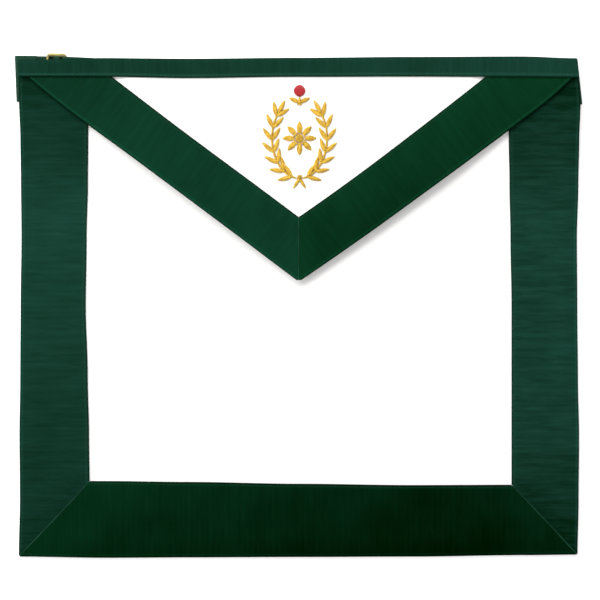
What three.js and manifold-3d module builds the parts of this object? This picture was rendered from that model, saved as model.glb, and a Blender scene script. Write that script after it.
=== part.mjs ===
// A masonic apron of white leather with a border of green ribbed ribbon, lying face up on its folded belt.
// Millimetres. +X runs right as the face is seen, +Y runs to the waist and +Z points out of the face.
import * as THREE from 'three';
import { mergeVertices } from 'three/addons/utils/BufferGeometryUtils.js';
import Module from 'manifold-3d';

const wasm = await Module();
wasm.setup();

// The cut of the apron
const APRON_WIDTH = 406;
const APRON_HEIGHT = 363;
const SIDE_RIBBON = 49;
const FOOT_RIBBON = 53;
const HEM = 8;
const BAND_FRONT = 13.8;
const BAND_BACK = 10;
const BAND_STEP = 10;
const SWAY = 1.9;

// The flap, below the band's lower edge, and its ribbon's width: upright at the tip and level at the band
const FLAP_CORNER_IN = 5;
const FLAP_DROP = 148.9;
const TIP_RIBBON = 47.1;
const CORNER_RIBBON = 63;
const FLAP_SKEW = 1.5;
const ARM_BOW = 3;
const ARM_BOW_LEAN = 0.85;
const EDGE_BOW = 3;
const EDGE_BOW_LEAN = 3.3;
const OUTER_TUCK = 1.2;
const INNER_TUCK = 7;
const TIP_DROOP = 0.45;

// Thicknesses, and the clearance between two pieces
const LEATHER = 1.2;
const RIBBON = 1;
const STRAP = 1;
const METAL = 1.2;
const GAP = 0.3;
const SLIVER = 0.02;

// The belt behind the apron
const STRAP_WIDTH = 33;
const TAB_LENGTH = 15;
const LEFT_FOLD_OUT = 3.6;
const RIGHT_FOLD_OUT = 1.2;
const LEFT_STRAP_DOWN = 15;
const RIGHT_STRAP_DOWN = 16.8;
const CLASP_DOWN = 22;
const LEFT_FOLD_LEAN = -0.039;
const RIGHT_FOLD_LEAN = -0.11;
const STRAP_STEP = 16;
const LOOP_END = 12;
const RIGHT_LOOP_END = 26;
const SLIDE_IN = 18.3;
const SLIDE_LENGTH = 15;
const SLIDE_BAR = 1.8;
const CLASP_LENGTH = 46;
const CLASP_BAR = 2.4;
const CLASP_SLOT = 5;
const CLASP_WAIST = 20;
const SLOT_CLEARANCE = 0.35;
const SLOT_END_BAR = 2.3;
const SLIDE_DROP = 0.2;
const METAL_CORNER = 3;

// How the leather settles: from the belt's stack down to the floor, and off the turned hem
const RAMP = 70;
const SETTLE = 15;

// The embroidered device
const DEVICE_DOWN = 58.5;
const WREATH_HALF_WIDTH = 20;
const WREATH_HALF_HEIGHT = 29;
const WREATH_START = 0.11;
const WREATH_END = 2.3;
const LEAF_LENGTH = 11.5;
const LEAF_WIDTH = 6.2;
const LEAF_FULLEST = 0.42;
const LEAF_PAIRS = 7;
const LEAF_SPLAY = 0.6;
const STEM = 2;
const PADDING = 0.9;
const PAD_BEVEL = 0.7;
const PAD_SUNK = 0.2;
const PETALS = 8;
const ROSETTE_RADIUS = 12.5;
const PETAL_WIDTH = 8;
const BUTTON_RADIUS = 3.4;
const BUD_RADIUS = 4.3;
const BUD_UP = 34.5;
const CALYX_LEAF = 8.5;
const CALYX_SPREAD = 1.15;
const CALYX_DROP = 4.2;
const TIE_WIDTH = 3.6;
const TIE_HEIGHT = 4.4;
const TAIL_LENGTH = 9;
const TAIL_SPREAD = 0.55;

// How far the sides stray outwards (left, right) and the border's inner edges inwards, as shares of SWAY
const SIDES = [
  { up: 0, left: 0.7, right: -0.3, leftInner: 0.7, rightInner: -0.2 },
  { up: 0.11, left: 0.28, right: 0.1, leftInner: 0.7, rightInner: -0.2 },
  { up: 0.24, left: 0.45, right: 0.3, leftInner: 0.4, rightInner: -0.2 },
  { up: 0.36, left: 0.15, right: -0.15, leftInner: -0.1, rightInner: -0.2 },
  { up: 0.5, left: 0, right: -0.4, leftInner: -0.85, rightInner: -0.2 },
  { up: 0.64, left: -0.3, right: -0.55, leftInner: -0.5, rightInner: 0.2 },
  { up: 0.75, left: -0.12, right: 0, leftInner: 0, rightInner: 0.6 },
  { up: 0.84, left: 0, right: 0.3, leftInner: 0.2, rightInner: 0.95 },
  { up: 0.91, left: 0.45, right: 0.75, leftInner: 0.2, rightInner: 0.95 },
  { up: 0.96, left: 0.6, right: 0.05, leftInner: 0.2, rightInner: 0.9 },
  { up: 1, left: 0.7, right: -0.95, leftInner: 0.2, rightInner: 0.9 },
];

// How far the foot, the foot ribbon's upper edge, the band's lower edge and the top stray up, as shares of SWAY
const ENDS = [
  { across: -1, foot: 0.1, inner: 1.2, band: 0, top: -0.9 },
  { across: -0.7, foot: -0.37, inner: 1.15, band: -0.1, top: -0.15 },
  { across: -0.4, foot: -0.2, inner: 0.8, band: -0.55, top: -0.38 },
  { across: 0, foot: -0.05, inner: 0.1, band: -0.05, top: 0 },
  { across: 0.4, foot: 0.1, inner: -0.4, band: 0.05, top: 0.35 },
  { across: 0.8, foot: 0.65, inner: -0.28, band: -0.1, top: 0.5 },
  { across: 1, foot: 0.85, inner: -0.3, band: -0.3, top: -0.15 },
];

const HALF_WIDTH = APRON_WIDTH / 2;
const EDGE_IN = RIBBON + GAP;
const BAND_LINE = APRON_HEIGHT - BAND_FRONT;
const BELT_FOOT = APRON_HEIGHT - Math.max(LEFT_STRAP_DOWN, RIGHT_STRAP_DOWN) - STRAP_WIDTH / 2;
const RAMP_FOOT = BELT_FOOT - RAMP;
const FLAP_SPREAD = HALF_WIDTH - FLAP_CORNER_IN;
const OPENING_SPREAD = FLAP_SPREAD - CORNER_RIBBON;
const OPENING_DROP = FLAP_DROP - TIP_RIBBON;

// Heights above the underside of the leather
const FACE_UNDER = LEATHER + GAP;
const FLAP_UNDER = FACE_UNDER + RIBBON + GAP;
const FLAP_FACE_UNDER = FLAP_UNDER + LEATHER + GAP;
const BAND_OVER_RIBBON = FLAP_FACE_UNDER + RIBBON + GAP;

// Heights of the belt's stack above the floor
const STRAP_LAYER = STRAP + GAP;
const SLIDE_UNDER = 2 * STRAP_LAYER;
const CLASP_UNDER = STRAP_LAYER;
const OVER_BELT = EDGE_IN + GAP;
const SLIDE_STACK = SLIDE_UNDER + METAL + STRAP_LAYER + OVER_BELT;
const CLASP_STACK = CLASP_UNDER + METAL + STRAP_LAYER + OVER_BELT;
const FOLD_STACK = 2 * STRAP + 3 * GAP + OVER_BELT;
const SLIDE_X = -HALF_WIDTH + SLIDE_IN + SLIDE_LENGTH / 2;
const SLOT_HEIGHT = STRAP_WIDTH + 2 * SLOT_CLEARANCE;
const METAL_HEIGHT = SLOT_HEIGHT + 2 * SLOT_END_BAR;

const leatherColour = new THREE.MeshStandardMaterial({ color: 0xf6f5f2, roughness: 0.55, metalness: 0 });
const ribbonColour = new THREE.MeshStandardMaterial({ color: 0x0b3b26, roughness: 0.7, metalness: 0 });
const webbingColour = new THREE.MeshStandardMaterial({ color: 0x0c3323, roughness: 0.85, metalness: 0 });
const brassColour = new THREE.MeshStandardMaterial({ color: 0xd9b85a, roughness: 0.3, metalness: 1 });
const bullionColour = new THREE.MeshStandardMaterial({ color: 0xd8a02a, roughness: 0.45, metalness: 0.6 });
const redColour = new THREE.MeshStandardMaterial({ color: 0xb4232c, roughness: 0.6, metalness: 0 });

const mix = THREE.MathUtils.lerp;
const smooth = (share) => THREE.MathUtils.smoothstep(share, 0, 1);

// Reads a table's column between its rows, easing from row to row.
function read(table, key, column, at) {
  const last = table.length - 1;
  const next = Math.min(Math.max(table.findIndex((row) => row[key] > at), 1), last);
  const upper = at >= table[last][key] ? last : next;
  const lower = upper - 1;
  const share = (at - table[lower][key]) / (table[upper][key] - table[lower][key]);
  return mix(table[lower][column], table[upper][column], smooth(share));
}

// Straight-line reading between stops given as [place, value] pairs.
function between(stops, at) {
  const next = stops.findIndex(([place]) => place > at);
  const upper = next < 0 ? stops.length - 1 : Math.max(next, 1);
  const [[fromPlace, fromValue], [toPlace, toValue]] = [stops[upper - 1], stops[upper]];
  return mix(fromValue, toValue, THREE.MathUtils.clamp((at - fromPlace) / (toPlace - fromPlace), 0, 1));
}

// Moves a place on the plain rectangle to where the worn cloth has it.
function strayed(x, y) {
  const side = (column) => SWAY * read(SIDES, 'up', column, y / APRON_HEIGHT);
  const end = (column) => SWAY * read(ENDS, 'across', column, x / HALF_WIDTH);
  const sideways = between([
    [-HALF_WIDTH, -side('left')],
    [-HALF_WIDTH + SIDE_RIBBON, side('leftInner')],
    [HALF_WIDTH - SIDE_RIBBON, -side('rightInner')],
    [HALF_WIDTH, side('right')],
  ], x);
  const upwards = between([
    [0, end('foot')],
    [FOOT_RIBBON, end('inner')],
    [BAND_LINE, end('band')],
    [APRON_HEIGHT, end('top')],
  ], y);
  return { x: x + sideways, y: y + upwards };
}

// The belt's stack lifts the waist: most at the slide, less at the clasp and least at the right fold.
function beltLift(x) {
  return between([[SLIDE_X, SLIDE_STACK], [0, CLASP_STACK], [HALF_WIDTH, FOLD_STACK]], x);
}

// Height of the leather's underside: over the belt at the waist, flat below it, up on the hem at the edges.
function bodyUnder(x, y) {
  const onBelt = smooth((y - RAMP_FOOT) / RAMP);
  const offSideHem = smooth((HALF_WIDTH - Math.abs(x) - HEM) / SETTLE);
  const offFootHem = smooth((y - HEM) / SETTLE);
  const onHem = 1 - offSideHem * offFootHem;
  return beltLift(x) * onBelt + EDGE_IN * onHem * (1 - onBelt);
}

// Height that the flap hangs from: the waist's lift, easing off towards the tip.
function flapLift(x, y) {
  const below = Math.max(0, BELT_FOOT - y) / (BELT_FOOT - BAND_LINE + FLAP_DROP);
  return beltLift(x) * (1 - TIP_DROOP * below * below);
}

const steps = (count) => Array.from({ length: count + 1 }, (_, i) => i / count);
const evenly = (from, to, count) => steps(count).slice(1, -1).map((share) => mix(from, to, share));

function signedVolume(geometry) {
  const place = geometry.attributes.position;
  const corner = [0, 1, 2].map(() => new THREE.Vector3());
  let volume = 0;
  for (let i = 0; i < geometry.index.count; i += 3) {
    corner.forEach((point, k) => point.fromBufferAttribute(place, geometry.index.getX(i + k)));
    volume += corner[0].dot(corner[1].cross(corner[2])) / 6;
  }
  return volume;
}

// Keeps positions alone, joins shared vertices and turns the faces outwards.
function closed(geometry) {
  const bare = new THREE.BufferGeometry();
  bare.setAttribute('position', geometry.attributes.position);
  bare.setIndex(geometry.index);
  const merged = mergeVertices(bare, 1e-4);
  if (signedVolume(merged) < 0) {
    for (let i = 0; i < merged.index.count; i += 3) {
      const first = merged.index.getX(i);
      merged.index.setX(i, merged.index.getX(i + 1));
      merged.index.setX(i + 1, first);
    }
  }
  return merged;
}

function extruded(shape, settings) {
  return closed(new THREE.ExtrudeGeometry(shape, { bevelEnabled: false, ...settings }));
}

function solid(geometry) {
  return new wasm.Manifold(new wasm.Mesh({
    numProp: 3,
    vertProperties: new Float32Array(geometry.attributes.position.array),
    triVerts: new Uint32Array(geometry.index.array),
  }));
}

function fromSolid(manifold) {
  const mesh = manifold.getMesh();
  const geometry = new THREE.BufferGeometry();
  const places = new Float32Array(mesh.vertProperties);
  geometry.setAttribute('position', new THREE.BufferAttribute(places, mesh.numProp));
  geometry.setIndex(new THREE.BufferAttribute(new Uint32Array(mesh.triVerts), 1));
  return geometry;
}

const placed = (geometry, angle, x, y, z = 0) => geometry.clone().rotateZ(angle).translate(x, y, z);

// Cuts each tool out of the body.
function cutOut(body, tools) {
  return fromSolid(tools.reduce((rest, tool) => rest.subtract(solid(tool)), solid(body)));
}

// Joins forms into one solid with a flat base at z 0, without slivers under the tolerance.
function fused(forms) {
  const whole = forms.map(solid).reduce((joined, form) => joined.add(form));
  return fromSolid(whole.trimByPlane([0, 0, 1], 0).setTolerance(SLIVER));
}

// A wall with two faces: place(along, across, face) says where a point of the lower (0) or upper (1) face goes.
function wall(alongStops, acrossStops, place) {
  const [nu, nv] = [alongStops.length - 1, acrossStops.length - 1];
  const geometry = new THREE.BoxGeometry(1, 1, 1, nu, nv, 1);
  const position = geometry.attributes.position;
  for (let i = 0; i < position.count; i++) {
    const u = Math.round((position.getX(i) + 0.5) * nu);
    const v = Math.round((position.getY(i) + 0.5) * nv);
    const point = place(alongStops[u], acrossStops[v], Math.round(position.getZ(i) + 0.5));
    position.setXYZ(i, point.x, point.y, point.z);
  }
  return closed(geometry);
}

// A run through corners [x, y, radius], rounded at each one: its points, with the unit normal to the run's left.
function route(corners, stride = Infinity, turnSteps = 3) {
  const spots = [];
  const add = (point, way) => {
    const last = spots[spots.length - 1];
    if (last && Math.hypot(point.x - last.x, point.y - last.y) < 1e-3) return;
    spots.push({ x: point.x, y: point.y, nx: -way.y, ny: way.x });
  };
  const points = corners.map(([x, y]) => new THREE.Vector2(x, y));
  const straight = (from, to) => {
    const way = to.clone().sub(from);
    const count = Math.max(1, Math.ceil(way.length() / stride));
    steps(count).forEach((share) => add(from.clone().lerp(to, share), way.clone().normalize()));
  };
  let start = points[0];
  for (let i = 1; i < points.length - 1; i++) {
    const into = points[i].clone().sub(points[i - 1]).normalize();
    const out = points[i + 1].clone().sub(points[i]).normalize();
    const turn = Math.atan2(into.cross(out), into.dot(out));
    const radius = corners[i][2];
    const cut = radius * Math.tan(Math.abs(turn) / 2);
    const entry = points[i].clone().addScaledVector(into, -cut);
    if (start.distanceTo(entry) > 1e-3) straight(start, entry);
    const centre = new THREE.Vector2(-into.y, into.x).multiplyScalar(radius * Math.sign(turn)).add(entry);
    steps(turnSteps).forEach((share) => {
      const spot = entry.clone().rotateAround(centre, turn * share);
      add(spot, into.clone().rotateAround(new THREE.Vector2(), turn * share));
    });
    start = points[i].clone().addScaledVector(out, cut);
  }
  straight(start, points[points.length - 1]);
  return spots;
}

// Section of a ribbon laid over an edge: x is the distance in from the edge and y the height. It runs from
// the face's inner edge, by the bends, over the edge and down to the height low, and under by the width turned.
function edgeSection({ width, bends = [], high, low, turned = 0 }) {
  const corner = RIBBON / 2 + GAP;
  const faceRun = [...[width, ...bends].map((inwards) => [inwards, high, 0]), [RIBBON / 2, high, corner]];
  const underRun = turned > 0 ? [[RIBBON / 2, low, corner], [turned, low, 0]] : [[RIBBON / 2, low, 0]];
  return route([...faceRun, ...underRun]);
}

// A ribbon over an edge: quad holds the plan's outer and inner edge lines, section(along) the section there.
function edgeRibbon(quad, alongStops, section, width, lift, hang = (x, y) => y) {
  const indices = section(0).map((_, index) => index);
  const onLine = ([start, end], along) => [0, 1].map((axis) => mix(start[axis], end[axis], along));
  return wall(alongStops, indices, (along, index, face) => {
    const spot = section(along)[index];
    const inwards = spot.x + (face - 0.5) * RIBBON * spot.nx;
    const height = spot.y + (face - 0.5) * RIBBON * spot.ny;
    const cross = [onLine(quad.outer, along), onLine(quad.inner, along)];
    const [x, level] = onLine(cross, inwards / width);
    const y = hang(x, level);
    return { ...strayed(x, y), z: lift(x, y) + height };
  });
}

const apron = new THREE.Group();

function add(name, geometry, material) {
  const mesh = new THREE.Mesh(geometry, material);
  mesh.name = name;
  apron.add(mesh);
  return mesh;
}

// Distances in from an edge between which the cloth climbs on its hem, and places up the slope to the belt
const climb = steps(4).map((share) => HEM + SETTLE * share);
const ramp = steps(7).map((share) => RAMP_FOOT + RAMP * share);

function bodyLeather() {
  const left = [EDGE_IN, ...climb].map((inwards) => inwards - HALF_WIDTH);
  left.push(...evenly(HEM + SETTLE - HALF_WIDTH, 0, 8));
  const xs = [...left, 0, ...left.map((x) => -x).reverse()];
  const ys = [EDGE_IN, ...climb, ...evenly(HEM + SETTLE, RAMP_FOOT, 9), ...ramp, APRON_HEIGHT - EDGE_IN];
  return wall(xs, ys, (x, y, face) => ({ ...strayed(x, y), z: bodyUnder(x, y) + face * LEATHER }));
}
add('apron_leather', bodyLeather(), leatherColour);

// The three border ribbons: faces on the leather, turned round its edge and under by the hem
const faceMiddle = FACE_UNDER + RIBBON / 2;
const hemMiddle = -GAP - RIBBON / 2;
const sideTop = APRON_HEIGHT - BAND_BACK - GAP;

function sideBorder(side) {
  const outer = side * HALF_WIDTH;
  const inner = side * (HALF_WIDTH - SIDE_RIBBON);
  const quad = {
    outer: [[outer, GAP], [outer, sideTop]],
    inner: [[inner, FOOT_RIBBON + GAP], [inner, sideTop]],
  };
  const ys = [GAP, HEM / 2, ...climb, ...evenly(HEM + SETTLE, RAMP_FOOT, 9), ...ramp, sideTop];
  const alongStops = ys.map((y) => (y - GAP) / (sideTop - GAP));
  const section = edgeSection({
    width: SIDE_RIBBON, bends: [...climb].reverse(), high: faceMiddle, low: hemMiddle, turned: HEM,
  });
  return edgeRibbon(quad, alongStops, () => section, SIDE_RIBBON, bodyUnder);
}
add('border_left', sideBorder(-1), ribbonColour);
add('border_right', sideBorder(1), ribbonColour);

function footBorder() {
  const [outer, inner] = [HALF_WIDTH - GAP, HALF_WIDTH - SIDE_RIBBON - GAP];
  const quad = {
    outer: [[-outer, 0], [outer, 0]],
    inner: [[-inner, FOOT_RIBBON], [inner, FOOT_RIBBON]],
  };
  const near = [GAP, HEM / 2, ...climb].map((inwards) => (inwards - GAP) / (2 * outer));
  const alongStops = [...near, ...evenly(near[near.length - 1], 1 - near[near.length - 1], 12)];
  alongStops.push(...near.map((share) => 1 - share).reverse());
  const section = edgeSection({
    width: FOOT_RIBBON, bends: [...climb].reverse(), high: faceMiddle, low: hemMiddle, turned: HEM,
  });
  return edgeRibbon(quad, alongStops, () => section, FOOT_RIBBON, bodyUnder);
}
add('border_foot', footBorder(), ribbonColour);

// The flap's outline: the tip and the corners at the band's lower edge
const flapTip = BAND_LINE - FLAP_DROP;
const openingTip = BAND_LINE - OPENING_DROP;
const flapSlope = FLAP_DROP / FLAP_SPREAD;
const openingSlope = OPENING_DROP / OPENING_SPREAD;

// The flap's arms hang a little below their straight lines: the whole right arm, most of all just below its middle,
// and the outer edge of both, most of all near the waist.
function flapHang(x, y) {
  const bow = (share, lean) => Math.sin(Math.PI * THREE.MathUtils.clamp(share, 0, 1) ** lean);
  const openingLine = openingTip + Math.abs(x) * openingSlope;
  const outerLine = flapTip + Math.abs(x) * flapSlope;
  const outwards = Math.max(0, (openingLine - y) / (openingLine - outerLine));
  return y - ARM_BOW * bow(x / FLAP_SPREAD, ARM_BOW_LEAN)
    - EDGE_BOW * outwards * bow(Math.abs(x) / FLAP_SPREAD, EDGE_BOW_LEAN);
}

function flapLeather() {
  const inset = EDGE_IN * Math.hypot(1, flapSlope);
  const xs = steps(18).map((share) => mix(EDGE_IN - FLAP_SPREAD, FLAP_SPREAD - EDGE_IN, share));
  return wall(xs, steps(8), (across, down, face) => {
    const foot = BAND_LINE - FLAP_DROP + Math.abs(across) * flapSlope + inset;
    const x = across + FLAP_SKEW * Math.min(1, Math.abs(across) / FLAP_SPREAD);
    const y = flapHang(x, mix(APRON_HEIGHT - EDGE_IN, foot, down));
    return { ...strayed(x, y), z: flapLift(x, y) + FLAP_UNDER + face * LEATHER };
  });
}
add('flap_leather', flapLeather(), leatherColour);

// Each of the flap's two ribbons runs from the mitre at the tip to its end beneath the band.
function flapRibbon(side) {
  const mitre = side * GAP / 2;
  const quad = {
    outer: [
      [mitre, flapTip],
      [side * (FLAP_SPREAD + OUTER_TUCK / flapSlope) + FLAP_SKEW, BAND_LINE + OUTER_TUCK],
    ],
    inner: [
      [mitre, openingTip],
      [side * (OPENING_SPREAD + INNER_TUCK / openingSlope) - FLAP_SKEW, BAND_LINE + INNER_TUCK],
    ],
  };
  const width = TIP_RIBBON / Math.hypot(1, flapSlope);
  const high = FLAP_FACE_UNDER + RIBBON / 2;
  const section = edgeSection({ width, bends: [width / 2], high, low: FLAP_UNDER });
  return edgeRibbon(quad, steps(14), () => section, width, flapLift, flapHang);
}
add('flap_ribbon_left', flapRibbon(-1), ribbonColour);
add('flap_ribbon_right', flapRibbon(1), ribbonColour);

// The band binds the waist edge: low over the flap's leather, a step higher where it crosses the flap's ribbons.
function waistband() {
  const cross = OPENING_SPREAD - FLAP_SKEW - BAND_STEP;
  const rise = BAND_OVER_RIBBON - FLAP_FACE_UNDER;
  const half = [0, ...evenly(0, cross, 6), cross, cross + BAND_STEP / 2, cross + BAND_STEP];
  half.push(...evenly(cross + BAND_STEP, HALF_WIDTH, 7), HALF_WIDTH);
  const xs = [...half.map((x) => -x).reverse(), ...half.slice(1)];
  const alongStops = xs.map((x) => (x + HALF_WIDTH) / APRON_WIDTH);
  const section = (along) => {
    const x = mix(-HALF_WIDTH, HALF_WIDTH, along);
    const high = FLAP_FACE_UNDER + RIBBON / 2 + rise * smooth((Math.abs(x) - cross) / BAND_STEP);
    return edgeSection({ width: BAND_FRONT, high, low: hemMiddle, turned: BAND_BACK });
  };
  const quad = {
    outer: [[-HALF_WIDTH, APRON_HEIGHT], [HALF_WIDTH, APRON_HEIGHT]],
    inner: [[-HALF_WIDTH, BAND_LINE], [HALF_WIDTH, BAND_LINE]],
  };
  return edgeRibbon(quad, alongStops, section, BAND_FRONT, bodyUnder);
}
add('waistband', waistband(), ribbonColour);

// Where the belt's middle line runs, and how far its cross lines lean, at any x
const leftFoldX = -HALF_WIDTH - LEFT_FOLD_OUT + STRAP / 2;
const rightFoldX = HALF_WIDTH + RIGHT_FOLD_OUT - STRAP / 2;
const claspY = APRON_HEIGHT - CLASP_DOWN;
const leftFoldY = APRON_HEIGHT - LEFT_STRAP_DOWN;
const rightFoldY = APRON_HEIGHT - RIGHT_STRAP_DOWN;

function strapLine(foldX, foldY, foldLean) {
  const run = (Math.abs(foldX) - CLASP_LENGTH / 2) * Math.sign(-foldX);
  const share = (x) => THREE.MathUtils.clamp((x - foldX) / run, 0, 1);
  const fall = (x) => 6 * share(x) * (1 - share(x)) * (claspY - foldY) / run;
  const eased = Math.sign(run) * (SLIDE_IN + LEFT_FOLD_OUT);
  return {
    y: (x) => mix(foldY, claspY, smooth(share(x))),
    lean: (x) => mix(foldLean, -fall(x), smooth((x - foldX) / eased)),
  };
}
const leftLine = strapLine(leftFoldX, leftFoldY, LEFT_FOLD_LEAN);
const rightLine = strapLine(rightFoldX, rightFoldY, RIGHT_FOLD_LEAN);

// A flat strap along a route in the upright plane, laid out along one of the belt's two lines
function strap(corners, line) {
  const spots = route(corners, STRAP_STEP);
  const indices = spots.map((_, i) => i);
  return wall(indices, [-0.5, 0.5], (index, across, face) => {
    const spot = spots[index];
    const outwards = (face - 0.5) * STRAP;
    const x = spot.x + outwards * spot.nx;
    const sideways = across * STRAP_WIDTH;
    return { x: x + line.lean(x) * sideways, y: line.y(x) + sideways, z: spot.y + outwards * spot.ny };
  });
}

const floorLayer = STRAP / 2;
const secondLayer = floorLayer + STRAP_LAYER;
const thirdLayer = secondLayer + STRAP_LAYER;
const overSlide = SLIDE_UNDER + METAL + GAP + STRAP / 2;
const overClasp = CLASP_UNDER + METAL + GAP + STRAP / 2;
const turn = (METAL + 2 * GAP + STRAP) / 2;
const tightTurn = STRAP / 2 + GAP;
const claspBarInner = CLASP_LENGTH / 2 - CLASP_BAR;
const slidePitch = (SLIDE_LENGTH - SLIDE_BAR) / 2;

// From the tab sewn to the back, round the left fold, over the slide's middle bar, through the clasp and back
function leftStrap() {
  const tabHeight = beltLift(-HALF_WIDTH) - OVER_BELT - STRAP / 2;
  const fold = Math.min((tabHeight - floorLayer) / 2, STRAP + GAP);
  const weave = SLIDE_BAR / 2 + GAP + STRAP / 2;
  const slideRight = SLIDE_X + slidePitch + SLIDE_BAR / 2;
  const endTurnX = slideRight - SLIDE_BAR - turn;
  const claspTurnX = -claspBarInner + turn;
  const claspOuter = -CLASP_LENGTH / 2;
  return strap([
    [leftFoldX + TAB_LENGTH, tabHeight, 0],
    [leftFoldX, tabHeight, fold],
    [leftFoldX, floorLayer, fold],
    [SLIDE_X - weave, floorLayer, tightTurn],
    [SLIDE_X - weave, overSlide, tightTurn],
    [SLIDE_X + weave, overSlide, tightTurn],
    [SLIDE_X + weave, floorLayer, tightTurn],
    [claspTurnX, floorLayer, turn],
    [claspTurnX, overClasp, turn],
    [claspOuter - turn, overClasp, turn],
    [claspOuter - LOOP_END, secondLayer, turn],
    [endTurnX, secondLayer, turn],
    [endTurnX, overSlide, turn],
    [slideRight + turn, overSlide, turn],
    [slideRight + LOOP_END / 2, thirdLayer, turn],
    [slideRight + LOOP_END, thirdLayer, 0],
  ], leftLine);
}
add('belt_strap_left', leftStrap(), webbingColour);

// From the tab sewn to the back, round the right fold to the clasp, where its end is looped and sewn down
function rightStrap() {
  const tabHeight = FOLD_STACK - OVER_BELT - STRAP / 2;
  const fold = (tabHeight - floorLayer) / 2;
  const claspTurnX = claspBarInner - turn;
  const claspOuter = CLASP_LENGTH / 2;
  return strap([
    [rightFoldX - TAB_LENGTH, tabHeight, 0],
    [rightFoldX, tabHeight, fold],
    [rightFoldX, floorLayer, fold],
    [claspTurnX, floorLayer, turn],
    [claspTurnX, overClasp, turn],
    [claspOuter + turn, overClasp, turn],
    [claspOuter + LOOP_END, secondLayer, turn],
    [claspOuter + RIGHT_LOOP_END, secondLayer, 0],
  ], rightLine);
}
add('belt_strap_right', rightStrap(), webbingColour);

function roundedBox(outline, halfWidth, halfHeight, radius, cx = 0, cy = 0) {
  const corners = [[1, -1, -90], [1, 1, 0], [-1, 1, 90], [-1, -1, 180]];
  corners.forEach(([sx, sy, from]) => {
    const start = THREE.MathUtils.degToRad(from);
    const [x, y] = [cx + sx * (halfWidth - radius), cy + sy * (halfHeight - radius)];
    outline.absarc(x, y, radius, start, start + Math.PI / 2, false);
  });
  return outline;
}

// A three-bar slide: a frame with two slots
function slide() {
  const shape = roundedBox(new THREE.Shape(), SLIDE_LENGTH / 2, METAL_HEIGHT / 2, METAL_CORNER);
  const slotWidth = slidePitch - SLIDE_BAR;
  [-1, 1].forEach((side) => {
    const slotX = side * slidePitch / 2;
    shape.holes.push(roundedBox(new THREE.Path(), slotWidth / 2, SLOT_HEIGHT / 2, SLOT_CLEARANCE, slotX));
  });
  return extruded(shape, { depth: METAL, curveSegments: 3 });
}
const slideMesh = add('belt_slide', slide(), brassColour);
slideMesh.position.set(SLIDE_X, leftLine.y(SLIDE_X) - SLIDE_DROP, SLIDE_UNDER);
slideMesh.rotation.z = -Math.atan(leftLine.lean(SLIDE_X));

// A plain flat clasp: a slot at each end for a strap's loop, and a narrower middle
function clasp() {
  const halfLength = CLASP_LENGTH / 2;
  const shape = roundedBox(new THREE.Shape(), halfLength, METAL_HEIGHT / 2, METAL_CORNER);
  [-1, 1].forEach((side) => {
    const slotX = side * (halfLength - CLASP_BAR - CLASP_SLOT / 2);
    shape.holes.push(roundedBox(new THREE.Path(), CLASP_SLOT / 2, SLOT_HEIGHT / 2, SLOT_CLEARANCE, slotX));
  });
  const biteLength = halfLength - 2 * CLASP_BAR - CLASP_SLOT;
  const biteDepth = (METAL_HEIGHT - CLASP_WAIST) / 2;
  const bite = new THREE.Shape().absellipse(0, 0, biteLength, biteDepth, 0, Math.PI * 2, false);
  const cutter = extruded(bite, { depth: 3 * METAL, curveSegments: 8 });
  const bites = [-1, 1].map((side) => placed(cutter, 0, 0, side * METAL_HEIGHT / 2, -METAL));
  return cutOut(extruded(shape, { depth: METAL, curveSegments: 3 }), bites);
}
const claspMesh = add('belt_clasp', clasp(), brassColour);
claspMesh.position.set(0, claspY, CLASP_UNDER);

// The device is padded bullion work on the flap: pieces are drawn round its middle, then laid on the leather.
const deviceY = APRON_HEIGHT - DEVICE_DOWN;
const DEVICE_HEIGHT = PADDING + PAD_BEVEL;

function laid(geometry) {
  const position = geometry.attributes.position;
  for (let i = 0; i < position.count; i++) {
    const [x, y] = [position.getX(i), position.getY(i) + deviceY];
    const top = flapLift(x, y) + FLAP_UNDER + LEATHER + GAP;
    position.setXYZ(i, x, y, top + position.getZ(i));
  }
  return geometry;
}

// A padded form with a softly rounded rim, its lower rim below z 0
function padded(shape, curveSegments = 2) {
  const form = extruded(shape, {
    depth: PADDING + PAD_SUNK, bevelEnabled: true, bevelThickness: PAD_BEVEL, bevelSize: PAD_BEVEL,
    bevelOffset: -PAD_BEVEL, bevelSegments: 1, curveSegments,
  });
  return form.translate(0, 0, -PAD_SUNK);
}

// A pointed leaf from its base at the origin, along +Y
function leaf(length, width) {
  const shape = new THREE.Shape();
  shape.moveTo(0, 0);
  shape.quadraticCurveTo(width, length * LEAF_FULLEST, 0, length);
  shape.quadraticCurveTo(-width, length * LEAF_FULLEST, 0, 0);
  return padded(shape);
}

function roundPlug(radius, cx, cy) {
  const shape = new THREE.Shape().absarc(cx, cy, radius, 0, Math.PI * 2, false);
  const plug = extruded(shape, { depth: 2 * DEVICE_HEIGHT, curveSegments: 6 });
  return placed(plug, 0, 0, 0, -DEVICE_HEIGHT / 2);
}

// The wreath's line: half an oval from the foot (angle 0) up one side
function wreathPoint(angle, side) {
  return new THREE.Vector3(
    side * WREATH_HALF_WIDTH * Math.sin(angle),
    -WREATH_HALF_HEIGHT * Math.cos(angle),
    PADDING / 2,
  );
}

function wreathHeading(angle, side) {
  return Math.atan2(WREATH_HALF_HEIGHT * Math.sin(angle), side * WREATH_HALF_WIDTH * Math.cos(angle));
}

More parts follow.
